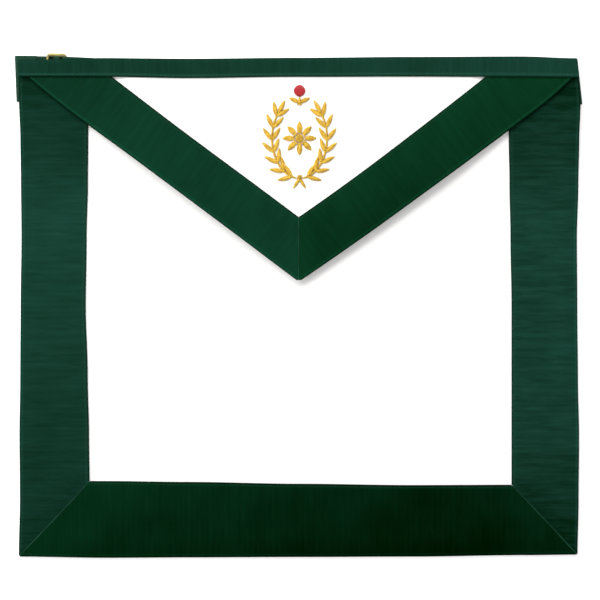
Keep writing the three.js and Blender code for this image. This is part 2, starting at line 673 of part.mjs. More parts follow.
function spray(side) {
  const angles = steps(14).map((share) => mix(WREATH_START, WREATH_END, share));
  const line = new THREE.CatmullRomCurve3(angles.map((angle) => wreathPoint(angle, side)));
  const section = new THREE.Shape().absellipse(0, 0, PADDING, STEM / 2, 0, Math.PI * 2, false);
  const stem = extruded(section, { extrudePath: line, steps: 18, curveSegments: 3 });
  const sprayLeaf = leaf(LEAF_LENGTH, LEAF_WIDTH);
  const at = (angle, turned) => {
    const { x, y } = wreathPoint(angle, side);
    return placed(sprayLeaf, wreathHeading(angle, side) - Math.PI / 2 + turned, x, y);
  };
  const pairs = Array.from({ length: LEAF_PAIRS }, (_, pair) => {
    const angle = mix(WREATH_START, WREATH_END, (pair + 0.5) / LEAF_PAIRS);
    return [at(angle, -LEAF_SPLAY), at(angle, LEAF_SPLAY)];
  });
  const tipAngle = WREATH_END - STEM / WREATH_HALF_HEIGHT;
  return laid(fused([stem, ...pairs.flat(), at(tipAngle, 0)]));
}
add('spray_left', spray(-1), bullionColour);
add('spray_right', spray(1), bullionColour);

// The knot where the sprays meet, with two stem ends below it
function tie() {
  const foot = -WREATH_HALF_HEIGHT;
  const knot = padded(roundedBox(new THREE.Shape(), TIE_WIDTH / 2, TIE_HEIGHT / 2, TIE_WIDTH / 4));
  const tail = leaf(TAIL_LENGTH, STEM * 2);
  const tails = [-1, 1].map((side) => placed(tail, Math.PI + side * TAIL_SPREAD, 0, foot));
  return laid(fused([placed(knot, 0, 0, foot), ...tails]));
}
add('spray_tie', tie(), bullionColour);

// Petals round a ring that holds the button
function rosette() {
  const start = BUTTON_RADIUS + GAP;
  const petal = leaf(ROSETTE_RADIUS - start, PETAL_WIDTH);
  const petals = Array.from({ length: PETALS }, (_, index) => {
    const angle = (index / PETALS) * Math.PI * 2;
    return placed(petal, angle - Math.PI / 2, Math.cos(angle) * start, Math.sin(angle) * start);
  });
  const ring = new THREE.Shape().absarc(0, 0, start + 2 * PAD_BEVEL, 0, Math.PI * 2, false);
  return laid(cutOut(fused([padded(ring, 6), ...petals]), [roundPlug(start, 0, 0)]));
}
add('rosette', rosette(), bullionColour);

function dome(radius, y = 0) {
  const ball = new THREE.SphereGeometry(1, 12, 8).scale(radius, radius, DEVICE_HEIGHT).translate(0, y, 0);
  return laid(fused([closed(ball)]));
}
add('rosette_button', dome(BUTTON_RADIUS), bullionColour);
add('bud', dome(BUD_RADIUS, BUD_UP), redColour);

// Three small leaves that spring from a knot below the bud
function calyx() {
  const root = BUD_UP - BUD_RADIUS - CALYX_DROP;
  const knot = padded(roundedBox(new THREE.Shape(), TIE_WIDTH / 2, TIE_WIDTH / 2, TIE_WIDTH / 3));
  const sepal = leaf(CALYX_LEAF, LEAF_WIDTH);
  const sepals = [-1, 0, 1].map((side) => placed(sepal, side * CALYX_SPREAD, 0, root));
  return laid(cutOut(fused([placed(knot, 0, 0, root), ...sepals]), [roundPlug(BUD_RADIUS + GAP, 0, BUD_UP)]));
}
add('bud_calyx', calyx(), bullionColour);

// The origin is the middle of the face that the apron lies on.
const reach = new THREE.Box3().setFromObject(apron, true);
const middle = reach.getCenter(new THREE.Vector3());
apron.position.set(-middle.x, -middle.y, -reach.min.z);

export default apron;
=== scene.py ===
import math

import bmesh
import bpy
import numpy as np
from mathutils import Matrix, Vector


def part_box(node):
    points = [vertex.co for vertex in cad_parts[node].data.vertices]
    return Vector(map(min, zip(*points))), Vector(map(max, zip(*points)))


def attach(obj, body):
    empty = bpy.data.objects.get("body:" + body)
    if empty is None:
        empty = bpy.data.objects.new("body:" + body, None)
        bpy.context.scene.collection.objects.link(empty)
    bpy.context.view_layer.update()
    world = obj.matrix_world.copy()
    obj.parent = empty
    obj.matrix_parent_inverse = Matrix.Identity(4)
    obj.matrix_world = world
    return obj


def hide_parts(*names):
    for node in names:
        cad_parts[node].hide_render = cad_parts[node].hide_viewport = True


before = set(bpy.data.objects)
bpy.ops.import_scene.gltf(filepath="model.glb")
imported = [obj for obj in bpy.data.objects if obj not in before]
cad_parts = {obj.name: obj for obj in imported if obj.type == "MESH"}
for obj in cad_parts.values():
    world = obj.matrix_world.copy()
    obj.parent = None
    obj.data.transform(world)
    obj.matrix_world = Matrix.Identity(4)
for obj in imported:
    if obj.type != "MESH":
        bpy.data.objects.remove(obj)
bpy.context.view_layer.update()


# The table is a plain white top, and the light one large soft window above the waist edge and a weaker
# one at the left. The camera hangs straight above the apron, as the one that took the photograph did.
MM = 0.001
PIXEL = 0.7276 * MM
PHOTO = 600
FOOT_PIXEL = (299.5, 557)
CAMERA_UP = 3.5
FACE_UP = 4 * MM
HEIGHT = 363 * MM
DEVICE_DOWN = 58.5 * MM
TABLE = 6.0
TABLE_COLOUR = (0.93, 0.93, 0.93, 1)
WINDOW = {"at": (-0.45, 0.9, 1.0), "size": (1.7, 0.8), "power": 23.5}
SIDE_LAMP = {"at": (-1.5, -0.1, 1.3), "size": (1.6, 1.6), "power": 7}
SKY = 0.7
TABLE_GLOW = 0.4

# The middle of the foot edge, from the rosette, which lies straight above it
rosette_low, rosette_high = (np.array(corner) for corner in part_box("rosette"))
PLAN_ORIGIN = ((rosette_low + rosette_high) / 2)[:2] - (0, HEIGHT - DEVICE_DOWN)

bpy.context.scene.view_settings.view_transform = "Standard"


def build_mesh(name, points, faces, uv=None, smooth=True):
    """A mesh object of the given name from an (n, 3) array and quads, its normals turned outwards, with an
    optional UV pair for each point."""
    mesh = bpy.data.meshes.new(name)
    mesh.from_pydata(np.asarray(points, float).tolist(), [], np.asarray(faces).tolist())
    if uv is not None:
        layer = mesh.uv_layers.new(name="cloth")
        corners = np.empty(len(mesh.loops), int)
        mesh.loops.foreach_get("vertex_index", corners)
        layer.data.foreach_set("uv", np.asarray(uv, float)[corners].ravel())
    shell = bmesh.new()
    shell.from_mesh(mesh)
    bmesh.ops.recalc_face_normals(shell, faces=shell.faces)
    shell.to_mesh(mesh)
    shell.free()
    mesh.polygons.foreach_set("use_smooth", np.full(len(mesh.polygons), smooth))
    piece = bpy.data.objects.new(name, mesh)
    bpy.context.scene.collection.objects.link(piece)
    return piece


table_corners = [(x * TABLE, y * TABLE, 0) for x, y in ((-1, -1), (1, -1), (1, 1), (-1, 1))]
table = build_mesh("table_top", table_corners, [(0, 1, 2, 3)], smooth=False)
table_finish = bpy.data.materials.new("table_white")
table_finish.use_nodes = True
table_surface = table_finish.node_tree.nodes["Principled BSDF"].inputs
table_surface["Base Color"].default_value = TABLE_COLOUR
table_surface["Roughness"].default_value = 0.9
table_surface["Emission Color"].default_value = TABLE_COLOUR
table_surface["Emission Strength"].default_value = TABLE_GLOW
table.data.materials.append(table_finish)

for name, lamp in (("window", WINDOW), ("side_lamp", SIDE_LAMP)):
    light = bpy.data.lights.new(name, "AREA")
    light.shape = "RECTANGLE"
    light.size, light.size_y = lamp["size"]
    light.energy = lamp["power"]
    holder = bpy.data.objects.new(name, light)
    holder.location = lamp["at"]
    holder.rotation_euler = (-holder.location).to_track_quat("-Z", "Y").to_euler()
    bpy.context.scene.collection.objects.link(holder)

world = bpy.data.worlds.new("studio")
world.use_nodes = True
sky = world.node_tree.nodes["Background"].inputs
sky["Color"].default_value = (1, 1, 1, 1)
sky["Strength"].default_value = SKY
bpy.context.scene.world = world

view = bpy.data.cameras.new("camera")
view.sensor_width = 36
view.lens = view.sensor_width * CAMERA_UP / (PHOTO * PIXEL)
camera = bpy.data.objects.new("camera", view)
camera.location = (
    PLAN_ORIGIN[0] + (PHOTO / 2 - FOOT_PIXEL[0]) * PIXEL,
    PLAN_ORIGIN[1] + (FOOT_PIXEL[1] - PHOTO / 2) * PIXEL,
    FACE_UP + CAMERA_UP,
)
bpy.context.scene.collection.objects.link(camera)
bpy.context.scene.camera = camera


# The body is one panel of thin white leather with a smooth finish, cut to a rectangle and a little out of
# true. It lies flat in the middle and climbs over its turned hem at the edges and over the folded belt at
# the waist.
WIDTH = 406 * MM
SIDE_RIBBON = 49 * MM
FOOT_RIBBON = 53 * MM
HEM = 8 * MM
BAND_FRONT = 13.8 * MM
SWAY = 1.9 * MM
LEATHER = 1.2 * MM
RIBBON = 1 * MM
STRAP = 1 * MM
METAL = 1.2 * MM
GAP = 0.3 * MM
SLIDE_IN = 18.3 * MM
SLIDE_LENGTH = 15 * MM
STRAP_WIDTH = 33 * MM
RIGHT_STRAP_DOWN = 16.8 * MM
BELT_FOOT = HEIGHT - RIGHT_STRAP_DOWN - STRAP_WIDTH / 2
RAMP = 70 * MM
SETTLE = 15 * MM
LEATHER_WHITE = (0.93, 0.928, 0.915, 1)
LEATHER_SHADE = (0.90, 0.893, 0.872, 1)

HALF_WIDTH = WIDTH / 2
EDGE_IN = RIBBON + GAP
BAND_LINE = HEIGHT - BAND_FRONT
FACE_UNDER = LEATHER + GAP
STRAP_LAYER = STRAP + GAP
OVER_BELT = EDGE_IN + GAP
SLIDE_UNDER = 2 * STRAP_LAYER
SLIDE_STACK = SLIDE_UNDER + METAL + STRAP_LAYER + OVER_BELT
CLASP_STACK = METAL + 2 * STRAP_LAYER + OVER_BELT
FOLD_STACK = 2 * STRAP + 3 * GAP + OVER_BELT
SLIDE_X = -HALF_WIDTH + SLIDE_IN + SLIDE_LENGTH / 2

# How far the sides stray outwards and the border's inner edges inwards, as shares of SWAY
SIDES = {
    "up": (0, 0.11, 0.24, 0.36, 0.5, 0.64, 0.75, 0.84, 0.91, 0.96, 1),
    "left": (0.7, 0.28, 0.45, 0.15, 0, -0.3, -0.12, 0, 0.45, 0.6, 0.7),
    "right": (-0.3, 0.1, 0.3, -0.15, -0.4, -0.55, 0, 0.3, 0.75, 0.05, -0.95),
    "left_inner": (0.7, 0.7, 0.4, -0.1, -0.85, -0.5, 0, 0.2, 0.2, 0.2, 0.2),
    "right_inner": (-0.2, -0.2, -0.2, -0.2, -0.2, 0.2, 0.6, 0.95, 0.95, 0.9, 0.9),
}

# How far the foot, the foot ribbon's upper edge, the band's lower edge and the top stray up, as shares of
# SWAY
ENDS = {
    "across": (-1, -0.7, -0.4, 0, 0.4, 0.8, 1),
    "foot": (0.1, -0.37, -0.2, -0.05, 0.1, 0.65, 0.85),
    "inner": (1.2, 1.15, 0.8, 0.1, -0.4, -0.28, -0.3),
    "band": (0, -0.1, -0.55, -0.05, 0.05, -0.1, -0.3),
    "top": (-0.9, -0.15, -0.38, 0, 0.35, 0.5, -0.15),
}


def ease(share):
    """Three times the share's square less twice its cube, the share kept between 0 and 1."""
    s = np.clip(share, 0, 1)
    return s * s * (3 - 2 * s)


def read(table, rows, column, at):
    """A table's column at the given places, eased from row to row."""
    stops = np.array(table[rows], float)
    values = np.array(table[column], float)
    k = np.clip(np.searchsorted(stops, at, side="right") - 1, 0, len(stops) - 2)
    return values[k] + (values[k + 1] - values[k]) * ease((at - stops[k]) / (stops[k + 1] - stops[k]))


def steps_between(at, stops, values):
    """Straight-line reading between four stops, where each stop's value is an array of its own."""
    result = values[0]
    for k in range(1, len(stops)):
        share = np.clip((at - stops[k - 1]) / (stops[k] - stops[k - 1]), 0, 1)
        result = result + (values[k] - values[k - 1]) * share
    return result


def on_cloth(x, y, z):
    """Points of the plain rectangle moved to where the cloth has them: sideways and upwards by the two
    tables, read straight from the edges to the border's inner edges, and then to the frame's origin."""
    x, y, z = np.broadcast_arrays(x, y, z)
    side = {column: SWAY * read(SIDES, "up", column, y / HEIGHT) for column in SIDES if column != "up"}
    end = {column: SWAY * read(ENDS, "across", column, x / HALF_WIDTH)
           for column in ENDS if column != "across"}
    inner = HALF_WIDTH - SIDE_RIBBON
    sideways = steps_between(x, (-HALF_WIDTH, -inner, inner, HALF_WIDTH),
                             (-side["left"], side["left_inner"], -side["right_inner"], side["right"]))
    upwards = steps_between(y, (0, FOOT_RIBBON, BAND_LINE, HEIGHT),
                            (end["foot"], end["inner"], end["band"], end["top"]))
    return np.stack([x + sideways + PLAN_ORIGIN[0], y + upwards + PLAN_ORIGIN[1], z], axis=-1)


def belt_lift(x):
    """Height of the belt's stack: straight from the slide to the clasp and on to the right fold."""
    return np.interp(x, (SLIDE_X, 0, HALF_WIDTH), (SLIDE_STACK, CLASP_STACK, FOLD_STACK))


def body_under(x, y):
    """Height of the leather's underside: the belt's lift eased in up the slope, the hem's thickness eased
    out from the edges, one giving way to the other."""
    on_belt = ease((y - (BELT_FOOT - RAMP)) / RAMP)
    off_hem = ease((HALF_WIDTH - np.abs(x) - HEM) / SETTLE) * ease((y - HEM) / SETTLE)
    return belt_lift(x) * on_belt + EDGE_IN * (1 - off_hem) * (1 - on_belt)


def wall(name, place, along, across, uv):
    """A closed wall over a grid: place(along, across, face) gives the points of the lower face (0) and the
    upper (1), and the rims join their edges. uv(along, across) gives a length in metres along and across
    the cloth."""
    u, v = np.meshgrid(along, across, indexing="ij")
    points = np.concatenate([place(u, v, face).reshape(-1, 3) for face in (0, 1)])
    nu, nv = u.shape
    index = np.arange(nu * nv).reshape(nu, nv)
    quads = np.stack([index[:-1, :-1], index[1:, :-1], index[1:, 1:], index[:-1, 1:]], axis=-1).reshape(-1, 4)
    rim = np.concatenate([index[:-1, 0], index[-1, :-1], index[:0:-1, -1], index[0, :0:-1]])
    after = np.roll(rim, -1)
    rims = np.stack([rim, after, after + nu * nv, rim + nu * nv], axis=-1)
    faces = np.concatenate([quads, quads[:, ::-1] + nu * nv, rims])
    cloth = np.stack(uv(u, v), axis=-1).reshape(-1, 2)
    return build_mesh(name, points, faces, np.tile(cloth, (2, 1)))


class Socket:
    """A shader socket that takes part in sums: each operator adds the Math node that does it."""

    def __init__(self, tree, link):
        self.tree = tree
        self.link = link

    def math(self, operation, *others):
        node = self.tree.add("ShaderNodeMath", {"operation": operation}, [self, *others])
        return node["Value"]

    def __add__(self, other):
        return self.math("ADD", other)

    def __sub__(self, other):
        return self.math("SUBTRACT", other)

    def __mul__(self, other):
        return self.math("MULTIPLY", other)

    def sine(self):
        return self.math("SINE")

    def size(self):
        return self.math("ABSOLUTE")

    def ramp(self, low, high, to_low=0.0, to_high=1.0):
        """Straight-line change from to_low at low to to_high at high, flat outside."""
        node = self.tree.add("ShaderNodeMapRange", {"clamp": True}, [self, low, high, to_low, to_high])
        return node["Result"]


class Finish:
    """A material with a Principled surface whose nodes are added by one method."""

    def __init__(self, name, slot, **surface):
        self.slot = slot
        self.material = bpy.data.materials.new(name)
        self.material.use_nodes = True
        self.nodes = self.material.node_tree.nodes
        self.shader = self.nodes["Principled BSDF"]
        for socket, value in surface.items():
            self.shader.inputs[socket.replace("_", " ")].default_value = value

    def add(self, kind, settings=None, values=()):
        """Adds a node, makes its settings, fills its inputs, in order or by name, and returns its outputs."""
        node = self.nodes.new(kind)
        for setting, value in (settings or {}).items():
            setattr(node, setting, value)
        pairs = values.items() if isinstance(values, dict) else enumerate(values)
        for key, value in pairs:
            if isinstance(value, Socket):
                self.material.node_tree.links.new(value.link, node.inputs[key])
            else:
                node.inputs[key].default_value = value
        return {output.name: Socket(self, output) for output in node.outputs if output.enabled}

    def feed(self, **links):
        for socket, value in links.items():
            self.material.node_tree.links.new(value.link, self.shader.inputs[socket.replace("_", " ")])

    def blend(self, share, first, second):
        """The colour that goes from the first to the second with the share."""
        inputs = {"Factor": share, "A": first, "B": second}
        node = self.nodes.new("ShaderNodeMix")
        node.data_type = "RGBA"
        chosen = {s.name: s for s in node.inputs if s.enabled}
        for key, value in inputs.items():
            if isinstance(value, Socket):
                self.material.node_tree.links.new(value.link, chosen[key])
            else:
                chosen[key].default_value = value
        return Socket(self, next(s for s in node.outputs if s.enabled))

    def noise(self, place, scale, detail=2.0, roughness=0.5):
        values = {"Vector": place, "Scale": scale, "Detail": detail, "Roughness": roughness}
        return self.add("ShaderNodeTexNoise", {}, values)["Fac"]

    def bump(self, height, depth):
        """A normal from a height of 0 to 1 that stands for the given depth in metres."""
        values = {"Strength": 1.0, "Distance": depth, "Height": height}
        return self.add("ShaderNodeBump", {}, values)["Normal"]

    def give(self, piece):
        piece.data.materials.clear()
        piece.data.materials.append(self.material)


leather = Finish("white_leather", "leather", Roughness=0.5, Specular_IOR_Level=0.3)
cloth = leather.add("ShaderNodeTexCoord")["Object"]
grain = leather.add("ShaderNodeTexVoronoi", {"feature": "DISTANCE_TO_EDGE"},
                    {"Vector": cloth, "Scale": 1 / (0.9 * MM), "Randomness": 1.0})["Distance"]
pores = leather.noise(cloth, 1 / (0.35 * MM), 3.0)
crease = leather.noise(cloth, 1 / (22 * MM), 3.0, 0.6)
patch = leather.noise(cloth, 1 / (60 * MM), 2.0)
relief = grain.ramp(0, 0.22) * 0.5 + pores * 0.3 + crease * 3
leather.feed(
    Base_Color=leather.blend(patch.ramp(0.3, 0.75), LEATHER_WHITE, LEATHER_SHADE),
    Roughness=pores * 0.14 + 0.42,
    Normal=leather.bump(relief, 0.06 * MM),
)


def leather_place(x, y, face):
    return on_cloth(x, y, body_under(x, y) + face * LEATHER)


body = wall(
    "leather_body", leather_place,
    np.linspace(EDGE_IN - HALF_WIDTH, HALF_WIDTH - EDGE_IN, 181), np.linspace(EDGE_IN, HEIGHT - EDGE_IN, 163),
    lambda x, y: (x, y),
)
leather.give(body)
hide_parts("apron_leather")
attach(body, "root")


# The border is three lengths of dark green ribbed ribbon, mitred at the lower corners, with a firm woven
# edge. Each is laid on the leather's face, folded over its edge, turned under by the hem and stitched down
# inside.
RIB = 0.9 * MM
CRINKLE = 4.6 * MM
SELVAGE = 3 * MM
RIBBON_STEP = 0.8 * MM
RIM_ROUNDING = 0.3 * MM
# The ribbons' greens carry painted sheen. The bluish pair, for the side borders and the band, and the middle
# green of the flap's left arm are paler and bluer than the leaf green of the foot and the flap's right arm,
# because those ribbons catch more of the light.
RIBBON_DARK = (0.0001, 0.0045, 0.0001, 1)
BLUISH_DARK = (0.0001, 0.0105, 0.0022, 1)
BLUISH_LIGHT = (0.0105, 0.056, 0.039, 1)
RIBBON_MID = (0.0052, 0.056, 0.028, 1)
RIBBON_LEAF = (0.0045, 0.056, 0.0225, 1)
STITCH_PITCH = 2.9 * MM
STITCH_LENGTH = 2.1 * MM
THREAD = 0.5 * MM
STITCH_IN = 1.7 * MM
THREAD_GREEN = (0.007, 0.052, 0.026, 1)
BAND_THREAD_GREEN = (0.020, 0.105, 0.064, 1)
BAND_BACK = 10 * MM

SIDE_TOP = HEIGHT - BAND_BACK - GAP


def ribbon_finish_with_painted_light(name, width, length, look):
    """Ribbed ribbon: round ribs across it, crossed by fine warp threads, with crinkles, its colour carrying
    painted light and shade. The look's shade is how far it goes from the first to the second of its greens,
    the painted light on that ribbon; slope is how much that grows along the ribbon, and tilt from its outer
    edge to its inner, both painted falls of light. First and last are how much darker its ends are and how
    far in that reaches, painted shade at the ends. Selvage and fold are how much paler its inner and outer
    edges are: at the fold a painted highlight, at the selvage partly its own colour and partly a painted
    highlight. Their dark rims are painted shade."""
    finish = Finish(name, "ribbon", Specular_IOR_Level=look["gloss"])
    axis = finish.add("ShaderNodeSeparateXYZ", {}, [finish.add("ShaderNodeUVMap", {"uv_map": "cloth"})["UV"]])
    along, across = axis["X"], axis["Y"]
    place = finish.add("ShaderNodeCombineXYZ", {}, [along, across * 0.12, 0.0])["Vector"]
    flat = finish.add("ShaderNodeCombineXYZ", {}, [along, across, 0.0])["Vector"]
    drift = finish.noise(place, 1 / (9 * MM), 2.0)
    ribs = ((along + drift * 0.6 * MM) * (math.pi / RIB)).sine().size()
    warp = (across * (2 * math.pi / (0.32 * MM))).sine() * 0.5 + 0.5
    fleck = finish.noise(flat, 1 / (0.8 * MM), 3.0, 0.7)
    crinkle = finish.noise(place, 1 / (3.4 * MM), 3.0, 0.65)
    patch = finish.noise(flat, 1 / (45 * MM), 2.0)
    # Painted shade of the relief: the crinkles and the ribs' crests are painted lighter and the hollows
    # darker. The flecks and the broad patches are tone that differs at random.
    grain = (crinkle - 0.5) * look["ripple_shade"] + (ribs - 0.64) * 0.3 + (fleck - 0.5) * 0.35
    grain = grain + (patch - 0.5) * 0.5
    # Painted highlight at the folded outer edge, and at the inner edge together with the selvage's own paler
    # colour. The dark rims at the very edges are painted shade.
    inner = (across - 1.9 * MM).size().ramp(0.3 * MM, SELVAGE / 2, 1, 0) * look["selvage"]
    outer = (across - (width - 1.7 * MM)).size().ramp(0.2 * MM, SELVAGE / 2.4, 1, 0) * look["fold"]
    rims = across.ramp(0.5 * MM, 1.1 * MM, 0.5, 0) + across.ramp(width - 1.1 * MM, width - 0.5 * MM, 0, 0.6)
    # Painted light and shade: the level of light on the ribbon, its fall along and across, and the darker or
    # paler ends.
    slope, tilt = along * (look["slope"] / length), across * (look["tilt"] / width)
    level = slope - tilt + (look["shade"] + (look["tilt"] - look["slope"]) / 2)
    first, last = look["first"], look["last"]
    ends = along.ramp(0, first[1], first[0], 0) + along.ramp(length - last[1], length, 0, last[0])
    finish.feed(
        Base_Color=finish.blend((level + grain + inner + outer - rims - ends).ramp(0, 1.6), *look["greens"]),
        Roughness=fleck * 0.2 + 0.5,
        Normal=finish.bump(ribs * 0.55 + warp * 0.12 + fleck * 0.18 + crinkle * 1.2, 0.22 * MM),
    )
    return finish


def route(corners, turn_steps=6, stride=2 * MM):
    """A run through corners (x, y, radius), rounded at each: its points, evenly spaced on the straights, and
    unit normals to the right of the run."""
    spots, ways = [], []
    start = np.array(corners[0][:2], float)

    def straight(a, b):
        length = np.linalg.norm(b - a)
        if length < 1e-6:
            return
        shares = np.linspace(0, 1, max(2, int(np.ceil(length / stride)) + 1))[:, None]
        spots.append(a + (b - a) * shares)
        ways.append(np.tile((b - a) / length, (len(shares), 1)))

    for before, corner, after in zip(corners, corners[1:], corners[2:]):
        point, radius = np.array(corner[:2], float), corner[2]
        into = point - before[:2]
        out = np.array(after[:2]) - point
        into, out = into / np.linalg.norm(into), out / np.linalg.norm(out)
        turn = math.atan2(into[0] * out[1] - into[1] * out[0], into @ out)
        cut = radius * math.tan(abs(turn) / 2)
        straight(start, point - into * cut)
        side = np.array([-into[1], into[0]]) * math.copysign(1, turn)
        angles = np.linspace(0, abs(turn), turn_steps + 1)[1:, None]
        spots.append(point - into * cut + radius * (into * np.sin(angles) + side * (1 - np.cos(angles))))
        ways.append(into * np.cos(angles) + side * np.sin(angles))
        start = point + out * cut
    straight(start, np.array(corners[-1][:2], float))
    spots, ways = np.concatenate(spots), np.concatenate(ways)
    kept = np.concatenate([[True], np.linalg.norm(np.diff(spots, axis=0), axis=1) > 1e-6])
    return spots[kept], np.stack([ways[kept][:, 1], -ways[kept][:, 0]], axis=-1)


def edge_section(width, high, low, turned):
    """Section of a ribbon laid over an edge, as route gives it: x is the distance in from the edge, y the
    height."""
    corner = RIBBON / 2 + GAP
    under = [(RIBBON / 2, low, corner), (turned, low, 0)] if turned else [(RIBBON / 2, low, 0)]
    return route([(width, high, 0), (RIBBON / 2, high, corner), *under])


def crinkles(along, across, seed):
    """Slight waves across a ribbon: three sines along it whose phase drifts with the distance across."""
    chance = np.random.default_rng(seed)
    height = 0
    for spacing, share in ((CRINKLE, 0.5), (CRINKLE * 1.7, 0.6), (CRINKLE * 3.9, 0.8)):
        phase, drift, bow = chance.uniform(-math.pi, math.pi, 3)
        height = height + share * np.sin(2 * math.pi * along / spacing + phase + drift * across / (45 * MM)
                                         + 0.8 * np.sin(along / (37 * MM) + bow))
    return height


def between_lines(quad, along, inwards):
    """Plan points at a share along and a share inwards from the quad's outer line to its inner line."""
    outer = [np.interp(along, (0, 1), [end[axis] for end in quad["outer"]]) for axis in (0, 1)]
    inner = [np.interp(along, (0, 1), [end[axis] for end in quad["inner"]]) for axis in (0, 1)]
    return [outer[axis] + (inner[axis] - outer[axis]) * inwards for axis in (0, 1)]


def edge_ribbon(name, quad, sections, width, lift, look, thread, hang=lambda x, y: y):
    """A ribbon over an edge: sections(along) gives the points and normals of its middle line at a share
    along it, carried along the quad. The lift and the look's waves raise it, and a row of stitches holds
    its inner edge."""
    length = np.linalg.norm(np.subtract(*quad["outer"]))
    along = np.linspace(0, 1, int(length / RIBBON_STEP))
    middle = sections(np.zeros(1))[0][0]
    run = np.concatenate([[0], np.cumsum(np.linalg.norm(np.diff(middle, axis=0), axis=1))])
    way = (np.array(quad["outer"][1]) - quad["outer"][0]) / length

    def measured(u, inwards):
        x, y = between_lines(quad, u, inwards / width)
        return (x - quad["outer"][0][0]) * way[0] + (y - quad["outer"][0][1]) * way[1]

    def waves(u, inwards):
        return look["wave"] * crinkles(measured(u, inwards), inwards, look["seed"])

    def place(u, k, face):
        spots, normals = sections(u[:, 0])
        outwards = (face - 0.5) * RIBBON
        inwards = spots[..., 0] + outwards * normals[..., 0]
        x, level = between_lines(quad, u, inwards / width)
        y = hang(x, level)
        lying = np.clip(inwards / (4 * MM), 0, 1) * np.clip((width - inwards) / (3 * MM), 0.25, 1)
        raised = waves(u, inwards) * lying * (normals[..., 1] > 0.9)
        return on_cloth(x, y, lift(x, y) + spots[..., 1] + outwards * normals[..., 1] + raised)

    def stitched(u):
        inwards = width - STITCH_IN
        x, level = between_lines(quad, u, inwards / width)
        y = hang(x, level)
        high = sections(u.ravel())[0][:, 0, 1].reshape(u.shape) + RIBBON / 2
        return on_cloth(x, y, lift(x, y) + high + waves(u, inwards) * 0.6)

    piece = wall(name, place, along, np.arange(len(middle)),
                 lambda u, k: (measured(u, middle[k.astype(int), 0]), run[k.astype(int)]))
    rounded = piece.modifiers.new("rounded_rims", "BEVEL")
    rounded.width = RIM_ROUNDING
    rounded.segments = 2
    rounded.limit_method = "ANGLE"
    rounded.angle_limit = math.radians(50)
    ribbon_finish_with_painted_light(name + "_finish", width, length, look).give(piece)
    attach(piece, "root")
    stitch_row(name + "_stitches", stitched, length, thread)
    return piece


def skin(rings):
    """Points and quads of closed solids, each a run of rings of an even number of points, given as an
    (n, rings, sides, 3) array."""
    count, steps, sides = rings.shape[:3]
    index = np.arange(count * steps * sides).reshape(count, steps, sides)
    after = np.roll(index, -1, axis=2)
    walls = np.stack([index[:, :-1], index[:, 1:], after[:, 1:], after[:, :-1]], axis=-1).reshape(-1, 4)
    i = np.arange(sides // 2 - 1)
    across = np.stack([i, i + 1, sides - 2 - i, sides - 1 - i], axis=-1)
    caps = [index[:, end][:, across].reshape(-1, 4) for end in (0, -1)]
    return rings.reshape(-1, 3), np.concatenate([walls, *caps])


def tubes(lines, radii, sides=6):
    """Closed tubes along lines, an (n, rings, 3) array, with a radius for each ring: points, quads and a UV
    pair of the length along and the angle round."""
    way = np.gradient(lines, axis=1)
    way /= np.linalg.norm(way, axis=2, keepdims=True)
    side = np.cross(way, (0, 0, 1))
    side /= np.linalg.norm(side, axis=2, keepdims=True)
    up = np.cross(side, way)
    angles = np.arange(sides) * 2 * math.pi / sides
    round_it = side[:, :, None] * np.cos(angles)[:, None] + up[:, :, None] * np.sin(angles)[:, None]
    rings = lines[:, :, None] + round_it * np.broadcast_to(radii, lines.shape[:2])[:, :, None, None]
    step = np.linalg.norm(np.diff(lines, axis=1), axis=2)
    run = np.concatenate([np.zeros((len(lines), 1)), np.cumsum(step, axis=1)], axis=1)
    uv = np.stack(np.broadcast_arrays(run[:, :, None], angles), axis=-1)
    return *skin(rings), uv.reshape(-1, 2)


def stitch_row(name, face, length, thread):
    """A row of machine stitches along a ribbon: each a short thread whose ends go down into the cloth.
    face(along) gives points on the ribbon's face at a share along the row."""
    count = int(length / STITCH_PITCH) - 2
    middles = (np.arange(count) + 1.5) * STITCH_PITCH
    bend = np.linspace(-1, 1, 5)
    along = (middles[:, None] + bend * STITCH_LENGTH / 2) / length
    lines = face(along)
    lines[..., 2] += THREAD * (0.3 - 0.75 * bend ** 4)
    points, quads, uv = tubes(lines, THREAD / 2 * (1 - 0.5 * bend ** 6))
    row = build_mesh(name, points, quads, uv)
    thread.give(row)
    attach(row, "root")


def thread_finish(name, green):
    """Green sewing thread of two plies, painted darkest in the grooves between them as painted shade."""
    thread = Finish(name, "ribbon", Specular_IOR_Level=0.2, Roughness=0.5)
    ply = thread.add("ShaderNodeSeparateXYZ", {}, [thread.add("ShaderNodeUVMap", {"uv_map": "cloth"})["UV"]])
    plies = (ply["X"] * (2 * math.pi / (0.5 * MM)) + ply["Y"] * 2).sine() * 0.5 + 0.5
    thread.feed(
        Base_Color=thread.blend(plies, RIBBON_DARK, green),
        Normal=thread.bump(plies, 0.08 * MM),
    )
    return thread


sewing = thread_finish("sewing_thread", THREAD_GREEN)
band_sewing = thread_finish("band_thread", BAND_THREAD_GREEN)


def same_section(section):
    """The one section for every share along."""
    spots, normals = section
    return lambda along: (np.tile(spots, (len(along), 1, 1)), np.tile(normals, (len(along), 1, 1)))


FACE_MIDDLE = FACE_UNDER + RIBBON / 2
HEM_MIDDLE = -GAP - RIBBON / 2
